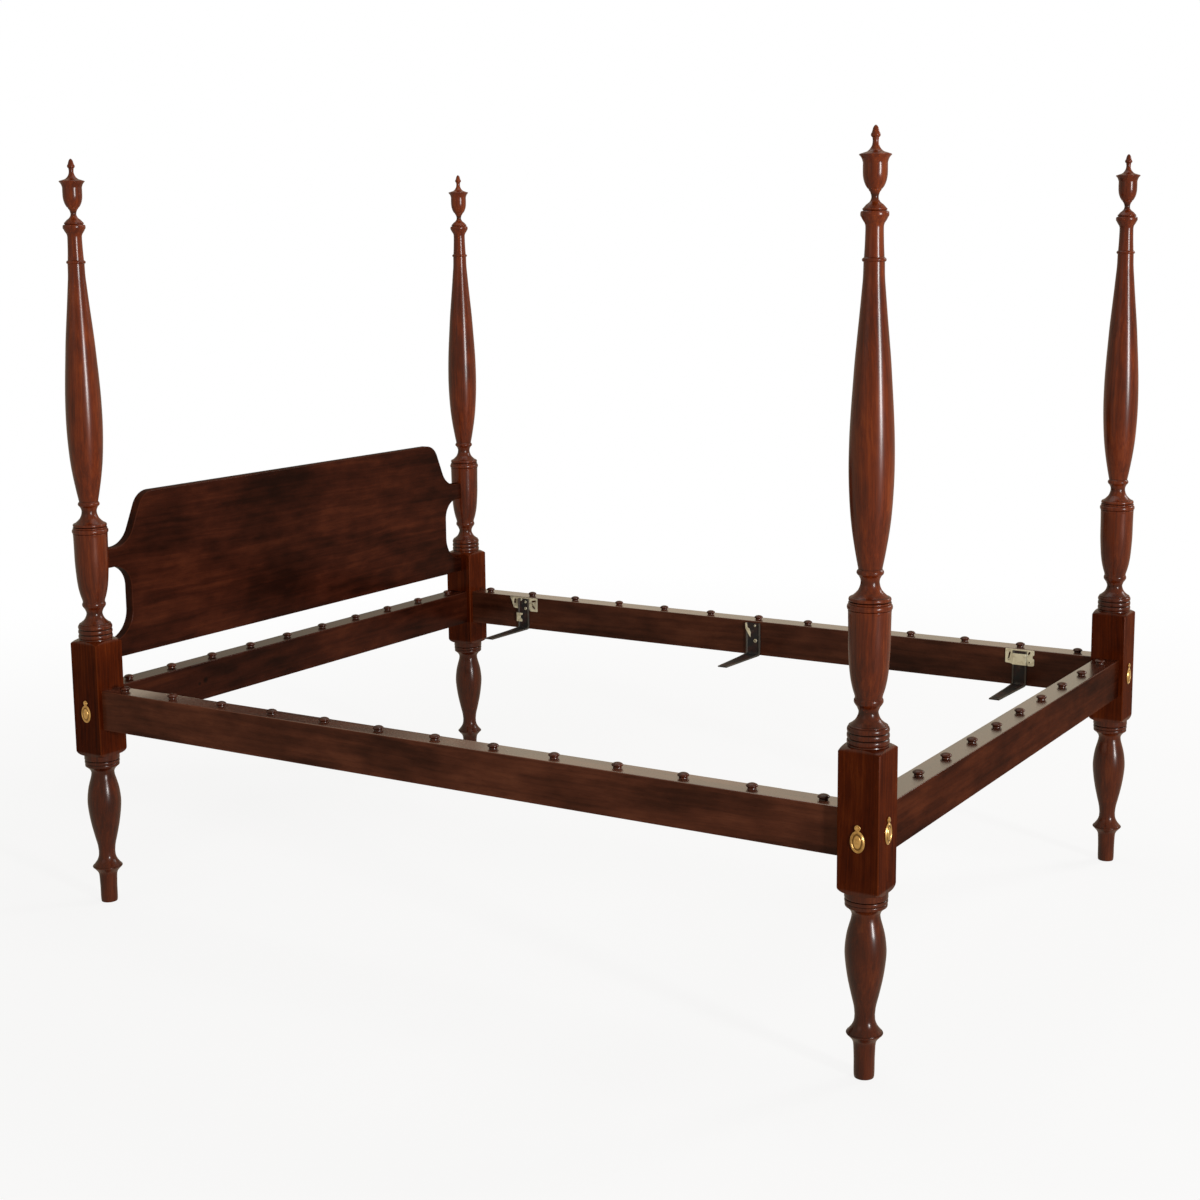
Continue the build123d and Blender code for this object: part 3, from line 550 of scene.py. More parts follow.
def black_iron():
    """Flat iron with a thin black paint, rubbed through to a brownish metal in places."""

    def sockets_of(shader):
        at = shader.place()
        edge = (0.0 - shader.relief()).rise(low=0.2, high=1.0)
        rubbed = shader.noise(at, 75.0, detail=4.0, rough=0.65).rise(low=0.56, high=0.74)
        rust = shader.noise(at, 38.0, detail=3.0, rough=0.6).rise(low=0.44, high=0.66)
        grit = shader.noise(at, 900.0)
        paint = shader.mix(rust * 0.8, BLACK_PAINT, RUSTY_PAINT)
        return {
            "Base Color": shader.mix(edge * 0.5 + rubbed * 0.4, paint, BARE_IRON),
            "Metallic": rubbed * 0.4,
            "Roughness": 0.46 + grit * 0.16,
            "Specular IOR Level": 0.18,
            "Normal": shader.bump(grit * 0.05, MM),
        }

    return finish("black_iron", sockets_of)


def zinc_plate(name, colour, worn):
    """Zinc-plated steel with its faint cloudy spangle."""

    def sockets_of(shader):
        at = shader.place()
        sockets = {"Vector": at, "Scale": 170.0}
        spangle = shader.node("ShaderNodeTexVoronoi", {"feature": "F1"}, sockets, "Color")
        flake = shader.node("ShaderNodeSeparateColor", {}, {"Color": spangle}, "Red")
        stain_and_shade = shader.noise(at, 60.0, detail=4.0, rough=0.6).rise(low=0.45, high=0.75)
        # Painted shade: the screw sockets, the marked corners of a zinc piece, are painted near black.
        hole = shader.relief().rise(low=0.1, high=0.6)
        return {
            "Base Color": shader.mix(hole, shader.mix(stain_and_shade * 0.7, colour, worn), SOCKET_SHADE),
            "Metallic": 0.70,
            "Roughness": 0.30 + flake * 0.14 + stain_and_shade * 0.12,
            "Normal": shader.bump(flake * 0.01 + stain_and_shade * 0.02, MM),
        }

    return finish(name, sockets_of)


GRAIN_X, GRAIN_Y, GRAIN_Z = 0, 1, 2
RELIEF = "relief"
TOP_INDEX = 1.7

# Where finishes change, in metres: heights on the bed, and how far below a rail's top its polish
# begins and is full.
BLOCK_FLAT_FROM, BLOCK_FLAT_TO, BLOCK_FLAT_FADE = 0.398, 0.688, 0.006
TOP_POLISH_FROM, TOP_POLISH_TO = 0.0012, 0.0002
# Heights between which the painted shade low on the bed fades out.
LOW_SHADE_HEIGHTS = (0.55, 1.15)

# Figure of the mahogany: how many forms to the metre, along the grain and across it, and how far
# the grain wanders, in metres.
SWAY_PER_METRE = (1.1, 3.0)
CURL_PER_METRE = (8.0, 18.0)
SWAY_REACH, CURL_REACH = 0.06, 0.009
CLOUD_PER_METRE = (3.4, 12.0)
STREAK_PER_METRE = 1.4
FLAME_PER_METRE = (15.0, 34.0)
FIBRE_PER_METRE = (16.0, 700.0)
PORE_PER_METRE = (45.0, 1500.0)
BRUSH_PER_METRE = 30.0

# How much of each colour goes into the wood's, and how its lacquer lies over pores and fibres.
DEEP_SHARE = 0.20
LIGHT_SHARE = 0.8
PORE_SHARE = 0.35
KNOT_SHARE, KNOT_CORE_SHARE = 0.85, 0.3
RUBBED_SHARE = 0.45
# How far grooves and coves go to the deep colour: deeper staining and painted shade.
GROOVE_STAIN_AND_SHADE_SHARE = 0.92
WOOD_ROUGHNESS, FIBRE_ROUGHNESS, PORE_ROUGHNESS = 0.34, 0.08, 0.10
LACQUER_ROUGHNESS = 0.24
PORE_GLOSS_LOST = 0.04
TOP_LEVELLED = 0.85
FIBRE_HIGH, PORE_DEEP, BRUSH_HIGH = 0.006, 0.008, 0.03

# Colours: dark, middle and light for wood.
POST_TONES = ((0.048, 0.0060, 0.0012), (0.112, 0.0155, 0.0022), (0.192, 0.0360, 0.0060))
RAIL_TONES = ((0.030, 0.0080, 0.0038), (0.082, 0.0230, 0.0112), (0.135, 0.0420, 0.0200))
FOOT_RAIL_TONES = ((0.013, 0.0022, 0.0008), (0.036, 0.0068, 0.0022), (0.068, 0.0150, 0.0048))
BOARD_TONES = ((0.010, 0.0019, 0.0008), (0.032, 0.0064, 0.0027), (0.064, 0.0145, 0.0054))
KNOB_TONES = ((0.020, 0.0036, 0.0014), (0.052, 0.0095, 0.0034), (0.100, 0.0220, 0.0080))
BRASS = (0.45, 0.28, 0.103)
TARNISHED_BRASS = (0.22, 0.12, 0.040)
DIRTY_BRASS = (0.07, 0.035, 0.010)
SCRATCHES_PER_METRE = (900.0, 900.0, 60.0)
BLACK_PAINT = (0.010, 0.010, 0.011)
RUSTY_PAINT = (0.034, 0.013, 0.011)
BARE_IRON = (0.12, 0.105, 0.085)
ZINC, WORN_ZINC = (0.56, 0.54, 0.43), (0.27, 0.22, 0.14)
STEEL, WORN_STEEL = (0.30, 0.30, 0.31), (0.14, 0.13, 0.12)
# The near black painted into screw sockets as shade.
SOCKET_SHADE = (0.02, 0.016, 0.012)

# Shares of cloud, streak, flame and fibre in the figure.
UPRIGHT_FIGURE = (0.30, 0.34, 0.20, 0.16)
PLANK_FIGURE = (0.50, 0.24, 0.18, 0.08)
HEAD_RAIL_KNOTS = (((-1.029, -0.444, 0.524), 0.013), ((-1.029, -0.466, 0.518), 0.008))

# A share given for low on the bed darkens that piece towards the floor, a painted shade.
post_finish = mahogany(
    "mahogany_upright", GRAIN_Z, POST_TONES, UPRIGHT_FIGURE, streaks=170.0, gloss=0.42,
    flat_gloss=0.07, stain_and_shade=0.50,
)
right_rail_finish = mahogany(
    "mahogany_right_side", GRAIN_X, RAIL_TONES, PLANK_FIGURE, gloss=0.08,
    polished_above=RAIL_TOP * MM, coat_index=TOP_INDEX,
)
left_rail_finish = mahogany(
    "mahogany_left_side", GRAIN_X, RAIL_TONES, PLANK_FIGURE, gloss=0.08,
    polished_above=RAIL_TOP * MM, coat_index=TOP_INDEX, stain_and_shade=0.68,
)
head_rail_finish = mahogany(
    "mahogany_head_rail", GRAIN_Y, BOARD_TONES, PLANK_FIGURE, gloss=0.07,
    polished_above=RAIL_TOP * MM, top_gloss=0.36, coat_index=TOP_INDEX, stain_and_shade=0.88,
    knots=HEAD_RAIL_KNOTS,
)
foot_rail_finish = mahogany(
    "mahogany_foot_rail", GRAIN_Y, FOOT_RAIL_TONES, PLANK_FIGURE, gloss=0.06,
    polished_above=RAIL_TOP * MM, coat_index=TOP_INDEX,
)
board_finish = mahogany("mahogany_headboard", GRAIN_Y, BOARD_TONES, PLANK_FIGURE, gloss=0.09)
knob_finish = mahogany("mahogany_knobs", GRAIN_Z, KNOB_TONES, UPRIGHT_FIGURE, gloss=0.5)
brass_finish = polished_brass()
iron_finish = black_iron()
zinc_finish = zinc_plate("zinc", ZINC, WORN_ZINC)
bolt_finish = zinc_plate("bolt_steel", STEEL, WORN_STEEL)


# Shapes


class Shell:
    """Corners and faces of one piece, in millimetres, gathered ring by ring."""

    def __init__(self):
        self.corners = []
        self.faces = []
        self.relief = []

    def rings(self, rings, relief=None):
        """Skins a row of closed rings with equal counts, and closes both ends.

        Relief is 1 in a groove, 0 on plain wood and -1 on a rubbed edge, for each ring or for
        each corner of each ring.
        """
        start = len(self.corners)
        count = len(rings[0])
        for ring, level in zip(rings, relief or [0.0] * len(rings)):
            self.corners.extend(tuple(p) for p in ring)
            self.relief.extend(level if isinstance(level, list) else [level] * count)
        for row in range(len(rings) - 1):
            low = start + row * count
            for i in range(count):
                j = (i + 1) % count
                self.faces.append((low + i, low + j, low + count + j, low + count + i))
        last = start + (len(rings) - 1) * count
        self.faces.append(tuple(range(start + count - 1, start - 1, -1)))
        self.faces.append(tuple(range(last, last + count)))
        return self

    def mesh(self, name):
        """The shell as a mesh in metres."""
        mesh = bpy.data.meshes.new(name)
        mesh.from_pydata([tuple(c * MM for c in corner) for corner in self.corners], [], self.faces)
        mesh.attributes.new(RELIEF, "FLOAT", "POINT").data.foreach_set("value", self.relief)
        return mesh

    def piece(self, name, finish, body, nodes, slot, crease=CREASE_ANGLE):
        """Makes the piece, which rides on a body and stands for CAD nodes. Its slot is not used."""
        return dressed(self.mesh(name), name, finish, body, nodes, crease)


def dressed(mesh, name, finish, body, nodes, crease=CREASE_ANGLE):
    """A mesh made into a piece: its faces turned outwards, shaded smooth between creases."""
    work = bmesh.new()
    work.from_mesh(mesh)
    bmesh.ops.remove_doubles(work, verts=work.verts, dist=MERGE_WITHIN)
    bmesh.ops.recalc_face_normals(work, faces=work.faces)
    work.to_mesh(mesh)
    work.free()
    for face in mesh.polygons:
        face.use_smooth = True
    mesh.set_sharp_from_angle(angle=crease)
    mesh.materials.clear()
    mesh.materials.append(finish)
    made = bpy.data.objects.new(name, mesh)
    bpy.context.scene.collection.objects.link(made)
    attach(made, body)
    if nodes:
        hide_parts(*nodes)
    return made


def joined(name, meshes):
    """One mesh of several."""
    work = bmesh.new()
    for mesh in meshes:
        work.from_mesh(mesh)
    whole = bpy.data.meshes.new(name)
    work.to_mesh(whole)
    work.free()
    return whole


def bored(mesh, cutters):
    """The mesh with the cutters taken out of it."""
    made = [bpy.data.objects.new("work", m) for m in (mesh, *cutters)]
    for thing in made:
        work = bmesh.new()
        work.from_mesh(thing.data)
        bmesh.ops.recalc_face_normals(work, faces=work.faces)
        work.to_mesh(thing.data)
        work.free()
        bpy.context.scene.collection.objects.link(thing)
    for cutter in made[1:]:
        cut = made[0].modifiers.new("bore", "BOOLEAN")
        cut.operation = "DIFFERENCE"
        cut.solver = "EXACT"
        cut.object = cutter
    drawn = made[0].evaluated_get(bpy.context.evaluated_depsgraph_get())
    result = bpy.data.meshes.new_from_object(drawn)
    for thing in made:
        bpy.data.objects.remove(thing)
    return result


def smooth_run(points, step):
    """Points about one step apart on a smooth curve through the given ones."""
    points = [Vector(p) for p in points]
    ends = [2 * points[0] - points[1], *points, 2 * points[-1] - points[-2]]
    run = []
    for before, start, end, after in zip(ends, ends[1:], ends[2:], ends[3:]):
        back = (start - before).length ** 0.5
        here = (end - start).length ** 0.5
        on = (after - end).length ** 0.5
        leave = ((start - before) / back - (end - before) / (back + here) + (end - start) / here) * here
        arrive = ((end - start) / here - (after - start) / (here + on) + (after - end) / on) * here
        count = max(2, math.ceil((end - start).length / step))
        for i in range(count):
            t = i / count
            run.append(
                start * (2 * t**3 - 3 * t**2 + 1)
                + leave * (t**3 - 2 * t**2 + t)
                + end * (3 * t**2 - 2 * t**3)
                + arrive * (t**3 - t**2)
            )
    run.append(points[-1])
    return run


def hollows(outline, reach, deep):
    """How far each (place, level) of an outline lies in a groove no wider than twice the reach."""
    found = []
    for place, level in outline:
        before = max(other for at, other in outline if place - reach <= at <= place)
        after = max(other for at, other in outline if place <= at <= place + reach)
        found.append(min(1.0, (min(before, after) - level) / deep))
    return found


def turned(shell, members, centre, step):
    """Turns a row of members about an upright axis."""
    angles = [2 * math.pi * i / LATHE_TURNS for i in range(LATHE_TURNS)]
    outline = []
    for _, points in members:
        least = (points[-1][0] - points[0][0]) / MEMBER_STEPS
        outline.extend(tuple(point) for point in smooth_run(points, min(step, abs(least))))
    rings = [[around(centre, radius, a, height) for a in angles] for height, radius in outline]
    grooves = hollows(outline, GROOVE_REACH, GROOVE_DEEP)
    # Coves are marked by a wider reach, for painted shade.
    shaded_coves = hollows(outline, SHADED_COVE_REACH, SHADED_COVE_DEEP)
    shell.rings(rings, [max(pair) for pair in zip(grooves, shaded_coves)])


def around(centre, radius, angle, height):
    """A point on a circle about an upright axis."""
    return (centre[0] + radius * math.cos(angle), centre[1] + radius * math.sin(angle), height)


def block_ring(centre, height, radius):
    """A square of the post's block, with its corners cut to a circle of the given radius."""
    half_flat = math.acos(min(1.0, BLOCK_HALF / radius))
    cut = math.pi / 2 - 2 * half_flat
    ring = []
    rubbed = []
    for quarter in range(4):
        turn = quarter * math.pi / 2
        for place in FLAT_PLACES:
            a = half_flat * place
            ring.append(around(centre, BLOCK_HALF / math.cos(a), turn + a, height))
            rubbed.append(-1.0 if abs(place) == 1.0 else 0.0)
        for i in range(1, CORNER_STEPS):
            a = turn + half_flat + cut * i / CORNER_STEPS
            ring.append(around(centre, radius, a, height))
            rubbed.append(-1.0 if cut < NARROW_CORNER else 0.0)
    return ring, rubbed


def square_block(centre):
    """The square block, whose ends are turned down to a rolled shoulder."""
    shell = Shell()
    rings = []
    for neck, corner, roundness in (LOWER_SHOULDER, UPPER_SHOULDER):
        roll = []
        for i in range(SHOULDER_STEPS + 1):
            a = math.pi / 2 * i / SHOULDER_STEPS
            outward = math.sin(a)
            along = roundness * (1 - math.cos(a)) + (1 - roundness) * outward
            radius = SHOULDER_RADIUS + (BLOCK_EDGE_RADIUS - SHOULDER_RADIUS) * outward
            roll.append(block_ring(centre, neck + (corner - neck) * along, radius))
        rings.extend(roll if neck < corner else reversed(roll))
    shell.rings([ring for ring, _ in rings], [rubbed for _, rubbed in rings])
    return shell


def counterbore(face):
    """What a bit takes out of a face for a bolt's head."""
    bore = Shell()
    ends = (-COUNTERBORE_DEEP, COUNTERBORE_DEEP)
    sizes = [(COUNTERBORE_RADIUS, COUNTERBORE_RADIUS, out) for out in ends]
    return bore.rings(oval_rings(face, 0, sizes, BORE_TURNS), [1.0, 0.0]).mesh("bore")


def post(end_name, end, side_name, side):
    """A turned post, bored in its block for the heads of two bolts."""
    name = f"post_{end_name}_{side_name}"
    centre = (end * POST_X, side * POST_Y)
    foot = Shell()
    turned(foot, LOWER_MEMBERS, centre, POST_STEP)
    head = Shell()
    turned(head, UPPER_MEMBERS, centre, POST_STEP)
    bores = [counterbore(face) for _, face in cover_faces(end, side)]
    block = bored(square_block(centre).mesh("block"), bores)
    whole = joined(f"turned_{name}", [foot.mesh("foot"), block, head.mesh("head")])
    dressed(whole, f"turned_{name}", post_finish, "bed", [name])


def finial(end_name, end, side_name, side):
    """An urn finial and its spigot, which ride together when it is lifted out."""
    shell = Shell()
    turned(shell, FINIAL_MEMBERS, (end * POST_X, side * POST_Y), FINIAL_STEP)
    name = f"finial_{end_name}_{side_name}"
    shell.piece(f"turned_{name}", post_finish, name, [name], "mahogany")


def eased_offsets(ease):
    """(inset, depth) of the rings that round an edge, with one ring on each flat beside it."""
    arc = [math.pi / 2 * i / EASE_STEPS for i in range(EASE_STEPS + 1)]
    rounded = [(ease * (1 - math.sin(a)), ease * (1 - math.cos(a))) for a in arc]
    return [(ease + EASE_SUPPORT, 0.0), *rounded, (0.0, ease + EASE_SUPPORT)]


def rubbed_edge():
    """The relief of the points of eased_offsets."""
    return [0.0, *(-math.sin(math.pi * i / EASE_STEPS) for i in range(EASE_STEPS + 1)), 0.0]


def nut_slot(place, axis):
    """What a chisel takes out of a rail's underside for one nut, about a point on the bolt."""
    low = Vector((-NUT_SLOT_WIDE / 2, -NUT_SLOT_WIDE / 2, -RAIL_TOP))
    high = Vector((NUT_SLOT_WIDE / 2, NUT_SLOT_WIDE / 2, NUT_SLOT_ABOVE_BOLT))
    low[axis], high[axis] = -NUT_SLOT_LONG / 2, NUT_SLOT_LONG / 2
    low, high = low + place, high + place
    turns = ((low.x, low.y), (high.x, low.y), (high.x, high.y), (low.x, high.y))
    rings = [[(x, y, z) for x, y in turns] for z in (low.z, high.z)]
    return Shell().rings(rings, [0.0, 1.0]).mesh("slot")


def beam(name, low, high, axis, bolt_high, finish, nodes):
    """A straight rail between two corners, with eased edges and a nut's slot near each end."""
    others = [a for a in range(3) if a != axis]
    half = [(high[a] - low[a]) / 2 for a in others]
    middle = [(high[a] + low[a]) / 2 for a in others]
    ring = []
    for sign_a, sign_b, turned_over in ((1, 1, False), (-1, 1, True), (-1, -1, False), (1, -1, True)):
        corner = [
            (middle[0] + sign_a * (half[0] - depth), middle[1] + sign_b * (half[1] - inset))
            for inset, depth in eased_offsets(RAIL_EASE)
        ]
        ring.extend(reversed(corner) if turned_over else corner)
    rings = []
    for place in (low[axis], high[axis]):
        row = []
        for a, b in ring:
            point = [0.0, 0.0, 0.0]
            point[axis], point[others[0]], point[others[1]] = place, a, b
            row.append(point)
        rings.append(row)
    plank = Shell().rings(rings, [rubbed_edge() * 4] * 2).mesh(name)
    middle = (low + high) / 2
    middle.z = bolt_high
    slots = []
    for end in (low[axis] + NUT_FROM_SHOULDER, high[axis] - NUT_FROM_SHOULDER):
        place = middle.copy()
        place[axis] = end
        slots.append(nut_slot(place, axis))
    dressed(bored(plank, slots), name, finish, "bed", nodes)


def rails():
    """The two side rails, and the head and foot rails between the posts."""
    for name, side in SIDES:
        node = f"side_rail_{name}"
        low, high = box_of(node)
        low.x, high.x = -POST_X + BLOCK_HALF, POST_X - BLOCK_HALF
        wood = left_rail_finish if side == LEFT_SIDE else right_rail_finish
        beam(f"planed_{node}", low, high, 0, END_FACE_COVER_HIGH, wood, [node])
    for name, _ in ENDS:
        node = f"{name}_rail"
        low, high = box_of(node)
        low.y, high.y = -POST_Y + BLOCK_HALF, POST_Y - BLOCK_HALF
        wood = head_rail_finish if name == "head" else foot_rail_finish
        beam(f"planed_{node}", low, high, 1, SIDE_FACE_COVER_HIGH, wood, [node])


def arc(centre, radius, start, end):
    """Points on an arc between two angles in degrees, both ends included."""
    angles = [math.radians(start + (end - start) * i / ARC_STEPS) for i in range(ARC_STEPS + 1)]
    return [(centre[0] + radius * math.cos(a), centre[1] + radius * math.sin(a)) for a in angles]


def headboard_outline():
    """The headboard's left half from the middle of its foot to the middle of its top."""
    corner_centre = (TOP_FLAT_HALF, BOARD_TOP - TOP_CORNER_RADIUS)
    cove_centre = (COVE_END_HALF, EAR_TOP + TOP_COVE_RADIUS)
    apart = math.dist(corner_centre, cove_centre)
    lie = math.atan2(cove_centre[1] - corner_centre[1], cove_centre[0] - corner_centre[0])
    meet = math.degrees(lie + math.acos((TOP_CORNER_RADIUS + TOP_COVE_RADIUS) / apart))
    foot_shelf = BOARD_FOOT + FOOT_TENON_HIGH
    half = [(0, BOARD_FOOT), (BOARD_END_HALF, BOARD_FOOT), (BOARD_END_HALF, foot_shelf)]
    foot_notch_centre = (WAIST_HALF + NOTCH_FOOT_RADIUS, foot_shelf + NOTCH_FOOT_RADIUS)
    half += arc(foot_notch_centre, NOTCH_FOOT_RADIUS, 270, 180)
    top_notch_centre = (WAIST_HALF + NOTCH_TOP_RADIUS, EAR_FOOT - NOTCH_TOP_RADIUS)
    half += arc(top_notch_centre, NOTCH_TOP_RADIUS, 180, 90)
    half += [(BOARD_END_HALF, EAR_FOOT), (BOARD_END_HALF, EAR_TOP)]
    half += arc(cove_centre, TOP_COVE_RADIUS, 270, 180 + meet)
    half += arc(corner_centre, TOP_CORNER_RADIUS, meet, 90)
    half += [(0, BOARD_TOP)]
    return half


def headboard():
    """The headboard, its outline eased all round on both faces."""
    half = headboard_outline()
    outline = half + [(-across, up) for across, up in reversed(half[1:-1])]
    count = len(outline)
    inwards = []
    for i, here in enumerate(outline):
        before, after = (Vector(outline[(i + k) % count]) for k in (-1, 1))
        into = (Vector(here) - before).normalized()
        out = (after - Vector(here)).normalized()
        lean = (into + out).normalized()
        inwards.append(Vector((-lean.y, lean.x)) / max(SHARPEST_MITRE, lean.dot(out)))
    side = eased_offsets(BOARD_EASE)
    rows = [(inset, BOARD_HALF_THICK - depth) for inset, depth in side]
    rows += [(inset, -out) for inset, out in reversed(rows)]
    rubbed = rubbed_edge() + rubbed_edge()[::-1]
    rings = []
    for inset, out in rows:
        ring = [Vector(p) + inset * n for p, n in zip(outline, inwards)]
        rings.append([(-POST_X + out, p.x, p.y) for p in ring])
    board = Shell().rings(rings, rubbed)
    board.piece("shaped_headboard", board_finish, "bed", ["headboard"], "mahogany")


def knob_mesh(name):
    """One turned rope knob, standing at the origin, as a mesh in metres."""
    angles = [2 * math.pi * i / KNOB_TURNS for i in range(KNOB_TURNS)]
    rings = [[around((0, 0), radius, a, height) for a in angles] for height, radius in KNOB_PROFILE]
    return Shell().rings(rings).mesh(name)


class Nodes:
    """A Geometry Nodes tree with named inputs, built node by node."""

    def __init__(self, name, inputs):
        self.tree = bpy.data.node_groups.new(name, "GeometryNodeTree")
        self.tree.is_modifier = True
        for label, kind in inputs:
            self.tree.interface.new_socket(label, in_out="INPUT", socket_type=kind)
        self.tree.interface.new_socket("Geometry", in_out="OUTPUT", socket_type="NodeSocketGeometry")
        self.given = self.tree.nodes.new("NodeGroupInput").outputs

    def node(self, kind, settings, sockets):
        """Adds a node, sets its settings and then its sockets, and gives its outputs."""
        made = self.tree.nodes.new(kind)
        for name, value in settings.items():
            setattr(made, name, value)
        for name, value in sockets.items():
            if isinstance(value, bpy.types.NodeSocket):
                self.tree.links.new(value, made.inputs[name])
            else:
                made.inputs[name].default_value = value
        return made.outputs

    def identifier(self, label):
        """The identifier of a named input, by which a modifier's value is set."""
        found = [s for s in self.tree.interface.items_tree if s.name == label and s.in_out == "INPUT"]
        return found[0].identifier


def row_tree():
    """Sets one shape in a straight row of equal steps, each copy turned by chance on its axis."""
    inputs = (
        ("Shape", "NodeSocketGeometry"), ("First", "NodeSocketVector"), ("Step", "NodeSocketVector"),
        ("Count", "NodeSocketInt"), ("Seed", "NodeSocketInt"), ("Finish", "NodeSocketMaterial"),
    )
    nodes = Nodes("row of equal pieces", inputs)
    given = nodes.given
    line = nodes.node(
        "GeometryNodeMeshLine", {"mode": "OFFSET"},
        {"Count": given["Count"], "Start Location": given["First"], "Offset": given["Step"]},
    )
    turn = nodes.node(
        "FunctionNodeRandomValue", {"data_type": "FLOAT_VECTOR"},
        {0: (0.0, 0.0, 0.0), 1: (0.0, 0.0, 2 * math.pi), "Seed": given["Seed"]},
    )
    placed = nodes.node(
        "GeometryNodeInstanceOnPoints", {},
        {"Points": line["Mesh"], "Instance": given["Shape"], "Rotation": turn[0]},
    )
    solid = nodes.node("GeometryNodeRealizeInstances", {}, {"Geometry": placed["Instances"]})
    named = nodes.node(
        "GeometryNodeSetMaterial", {},
        {"Geometry": solid["Geometry"], "Material": given["Finish"]},
    )
    nodes.node("NodeGroupOutput", {}, {"Geometry": named["Geometry"]})
    return nodes


def row_of(nodes, mesh, name, first, step, count, seed, finish):
    """The plain mesh of a row made by row_tree."""
    carrier = bpy.data.objects.new(f"{name}_carrier", mesh)
    bpy.context.scene.collection.objects.link(carrier)
    row = carrier.modifiers.new("row", "NODES")
    row.node_group = nodes.tree
    given = {
        "First": [c * MM for c in first], "Step": [c * MM for c in step],
        "Count": count, "Seed": seed, "Finish": finish,
    }
    for label, value in given.items():
        row[nodes.identifier(label)] = value
    drawn = carrier.evaluated_get(bpy.context.evaluated_depsgraph_get())
    result = bpy.data.meshes.new_from_object(drawn)
    result.name = name
    bpy.data.objects.remove(carrier)
    return result


def rope_knobs():
    """The rope knobs on all four rails, at equal steps along each."""
    nodes = row_tree()
    side_start = -SIDE_KNOB_PITCH * (SIDE_KNOBS - 1) / 2
    end_start = -END_KNOB_PITCH * (END_KNOBS - 1) / 2
    rows = []
    for name, side in SIDES:
        first = (side_start, side * POST_Y, RAIL_TOP)
        rows.append((name, first, (SIDE_KNOB_PITCH, 0, 0), SIDE_KNOBS))
    for name, end in ENDS:
        first = (end * POST_X, end_start, RAIL_TOP)
        rows.append((name, first, (0, END_KNOB_PITCH, 0), END_KNOBS))
    for seed, (name, first, step, count) in enumerate(rows):
        knob = knob_mesh("rope_knob")
        mesh = row_of(nodes, knob, f"knobs_{name}", first, step, count, seed, knob_finish)
        cad_nodes = [f"rope_knobs_{name}"]
        dressed(mesh, f"turned_knobs_{name}", knob_finish, "bed", cad_nodes)


class Face:
    """A face of the bed to fix things on: across, up and out from a point on it."""

    def __init__(self, origin, out):
        self.origin = Vector(origin)
        self.out = Vector(out)
        self.across = UP.cross(self.out)

    def at(self, across, up, out):
        """A point so far across, up and out from the face's origin."""
        return self.origin + across * self.across + up * UP + out * self.out


def oval_rings(face, up, rings, turns):
    """Rings of (half width, half height, stand-off) about a point of a face."""
    angles = [2 * math.pi * i / turns for i in range(turns)]
    return [
        [face.at(wide * math.cos(a), up + high * math.sin(a), out) for a in angles]
        for wide, high, out in rings
    ]


def cover_faces(end, side):
    """The two outer faces of a post's block where its bolt covers hang."""
    end_face = Face((end * (POST_X + BLOCK_HALF), side * POST_Y, END_FACE_COVER_HIGH), (end, 0, 0))
    side_face = Face((end * POST_X, side * (POST_Y + BLOCK_HALF), SIDE_FACE_COVER_HIGH), (0, side, 0))
    return (("end", end_face), ("side", side_face))


def round_rings(face, rings):
    """Rings of (radius, stand-off) about the pin that a cover swings on."""
    return oval_rings(face, EYE_ABOVE_CENTRE, [(r, r, out) for r, out in rings], COVER_TURNS)


def bolt_cover(name, face):
    """An oval stamped cover that hangs from an eye."""
    shell = Shell()
    relief = [(-wide, out) for wide, _, out in COVER_RINGS]
    grooves = hollows(relief, STAMPED_GROOVE_REACH, STAMPED_GROOVE_DEEP)
    shell.rings(oval_rings(face, 0, COVER_RINGS, COVER_TURNS), grooves)
    shell.rings(round_rings(face, EYE_RINGS))
    half = NECK_HALF_WIDE
    corners = (
        (-half, NECK_BACK), (half, NECK_BACK), (half, NECK_EDGE), (half - NECK_CHAMFER, NECK_FRONT),
        (-half + NECK_CHAMFER, NECK_FRONT), (-half, NECK_EDGE),
    )
    neck_ends = (NECK_BOTTOM, NECK_TOP)
    shell.rings([[face.at(across, up, out) for across, out in corners] for up in neck_ends])
    shell.piece(f"stamped_{name}", brass_finish, name, [name], "brass")


def bolt_covers():
    """The eight bolt covers, and the pins that they swing on."""
    pins = Shell()
    for end_name, end in ENDS:
        for side_name, side in SIDES:
            for face_name, face in cover_faces(end, side):
                bolt_cover(f"bolt_cover_{end_name}_{side_name}_{face_name}", face)
                pins.rings(round_rings(face, PIN_RINGS))
    pins.piece("domed_cover_pins", brass_finish, "bed", ["cover_pins"], "brass")


def iron_stations():
    """(out from the rail, height, lean of the face) along a hanger iron, from its top to its tip."""
    bend_top = IRON_ARM_TOP + IRON_BEND_RADIUS
    outer = IRON_BEND_RADIUS + IRON_THICK
    stations = [(0.0, IRON_TOP, 0.0), (0.0, bend_top, 0.0)]
    for i in range(1, IRON_BEND_STEPS + 1):
        a = math.pi / 2 * i / IRON_BEND_STEPS
        stations.append((outer * (1 - math.cos(a)), bend_top - outer * math.sin(a), a))
    arm_foot = IRON_ARM_TOP - IRON_THICK
    return stations + [(out, arm_foot, math.pi / 2) for out in IRON_ARM_STATIONS]


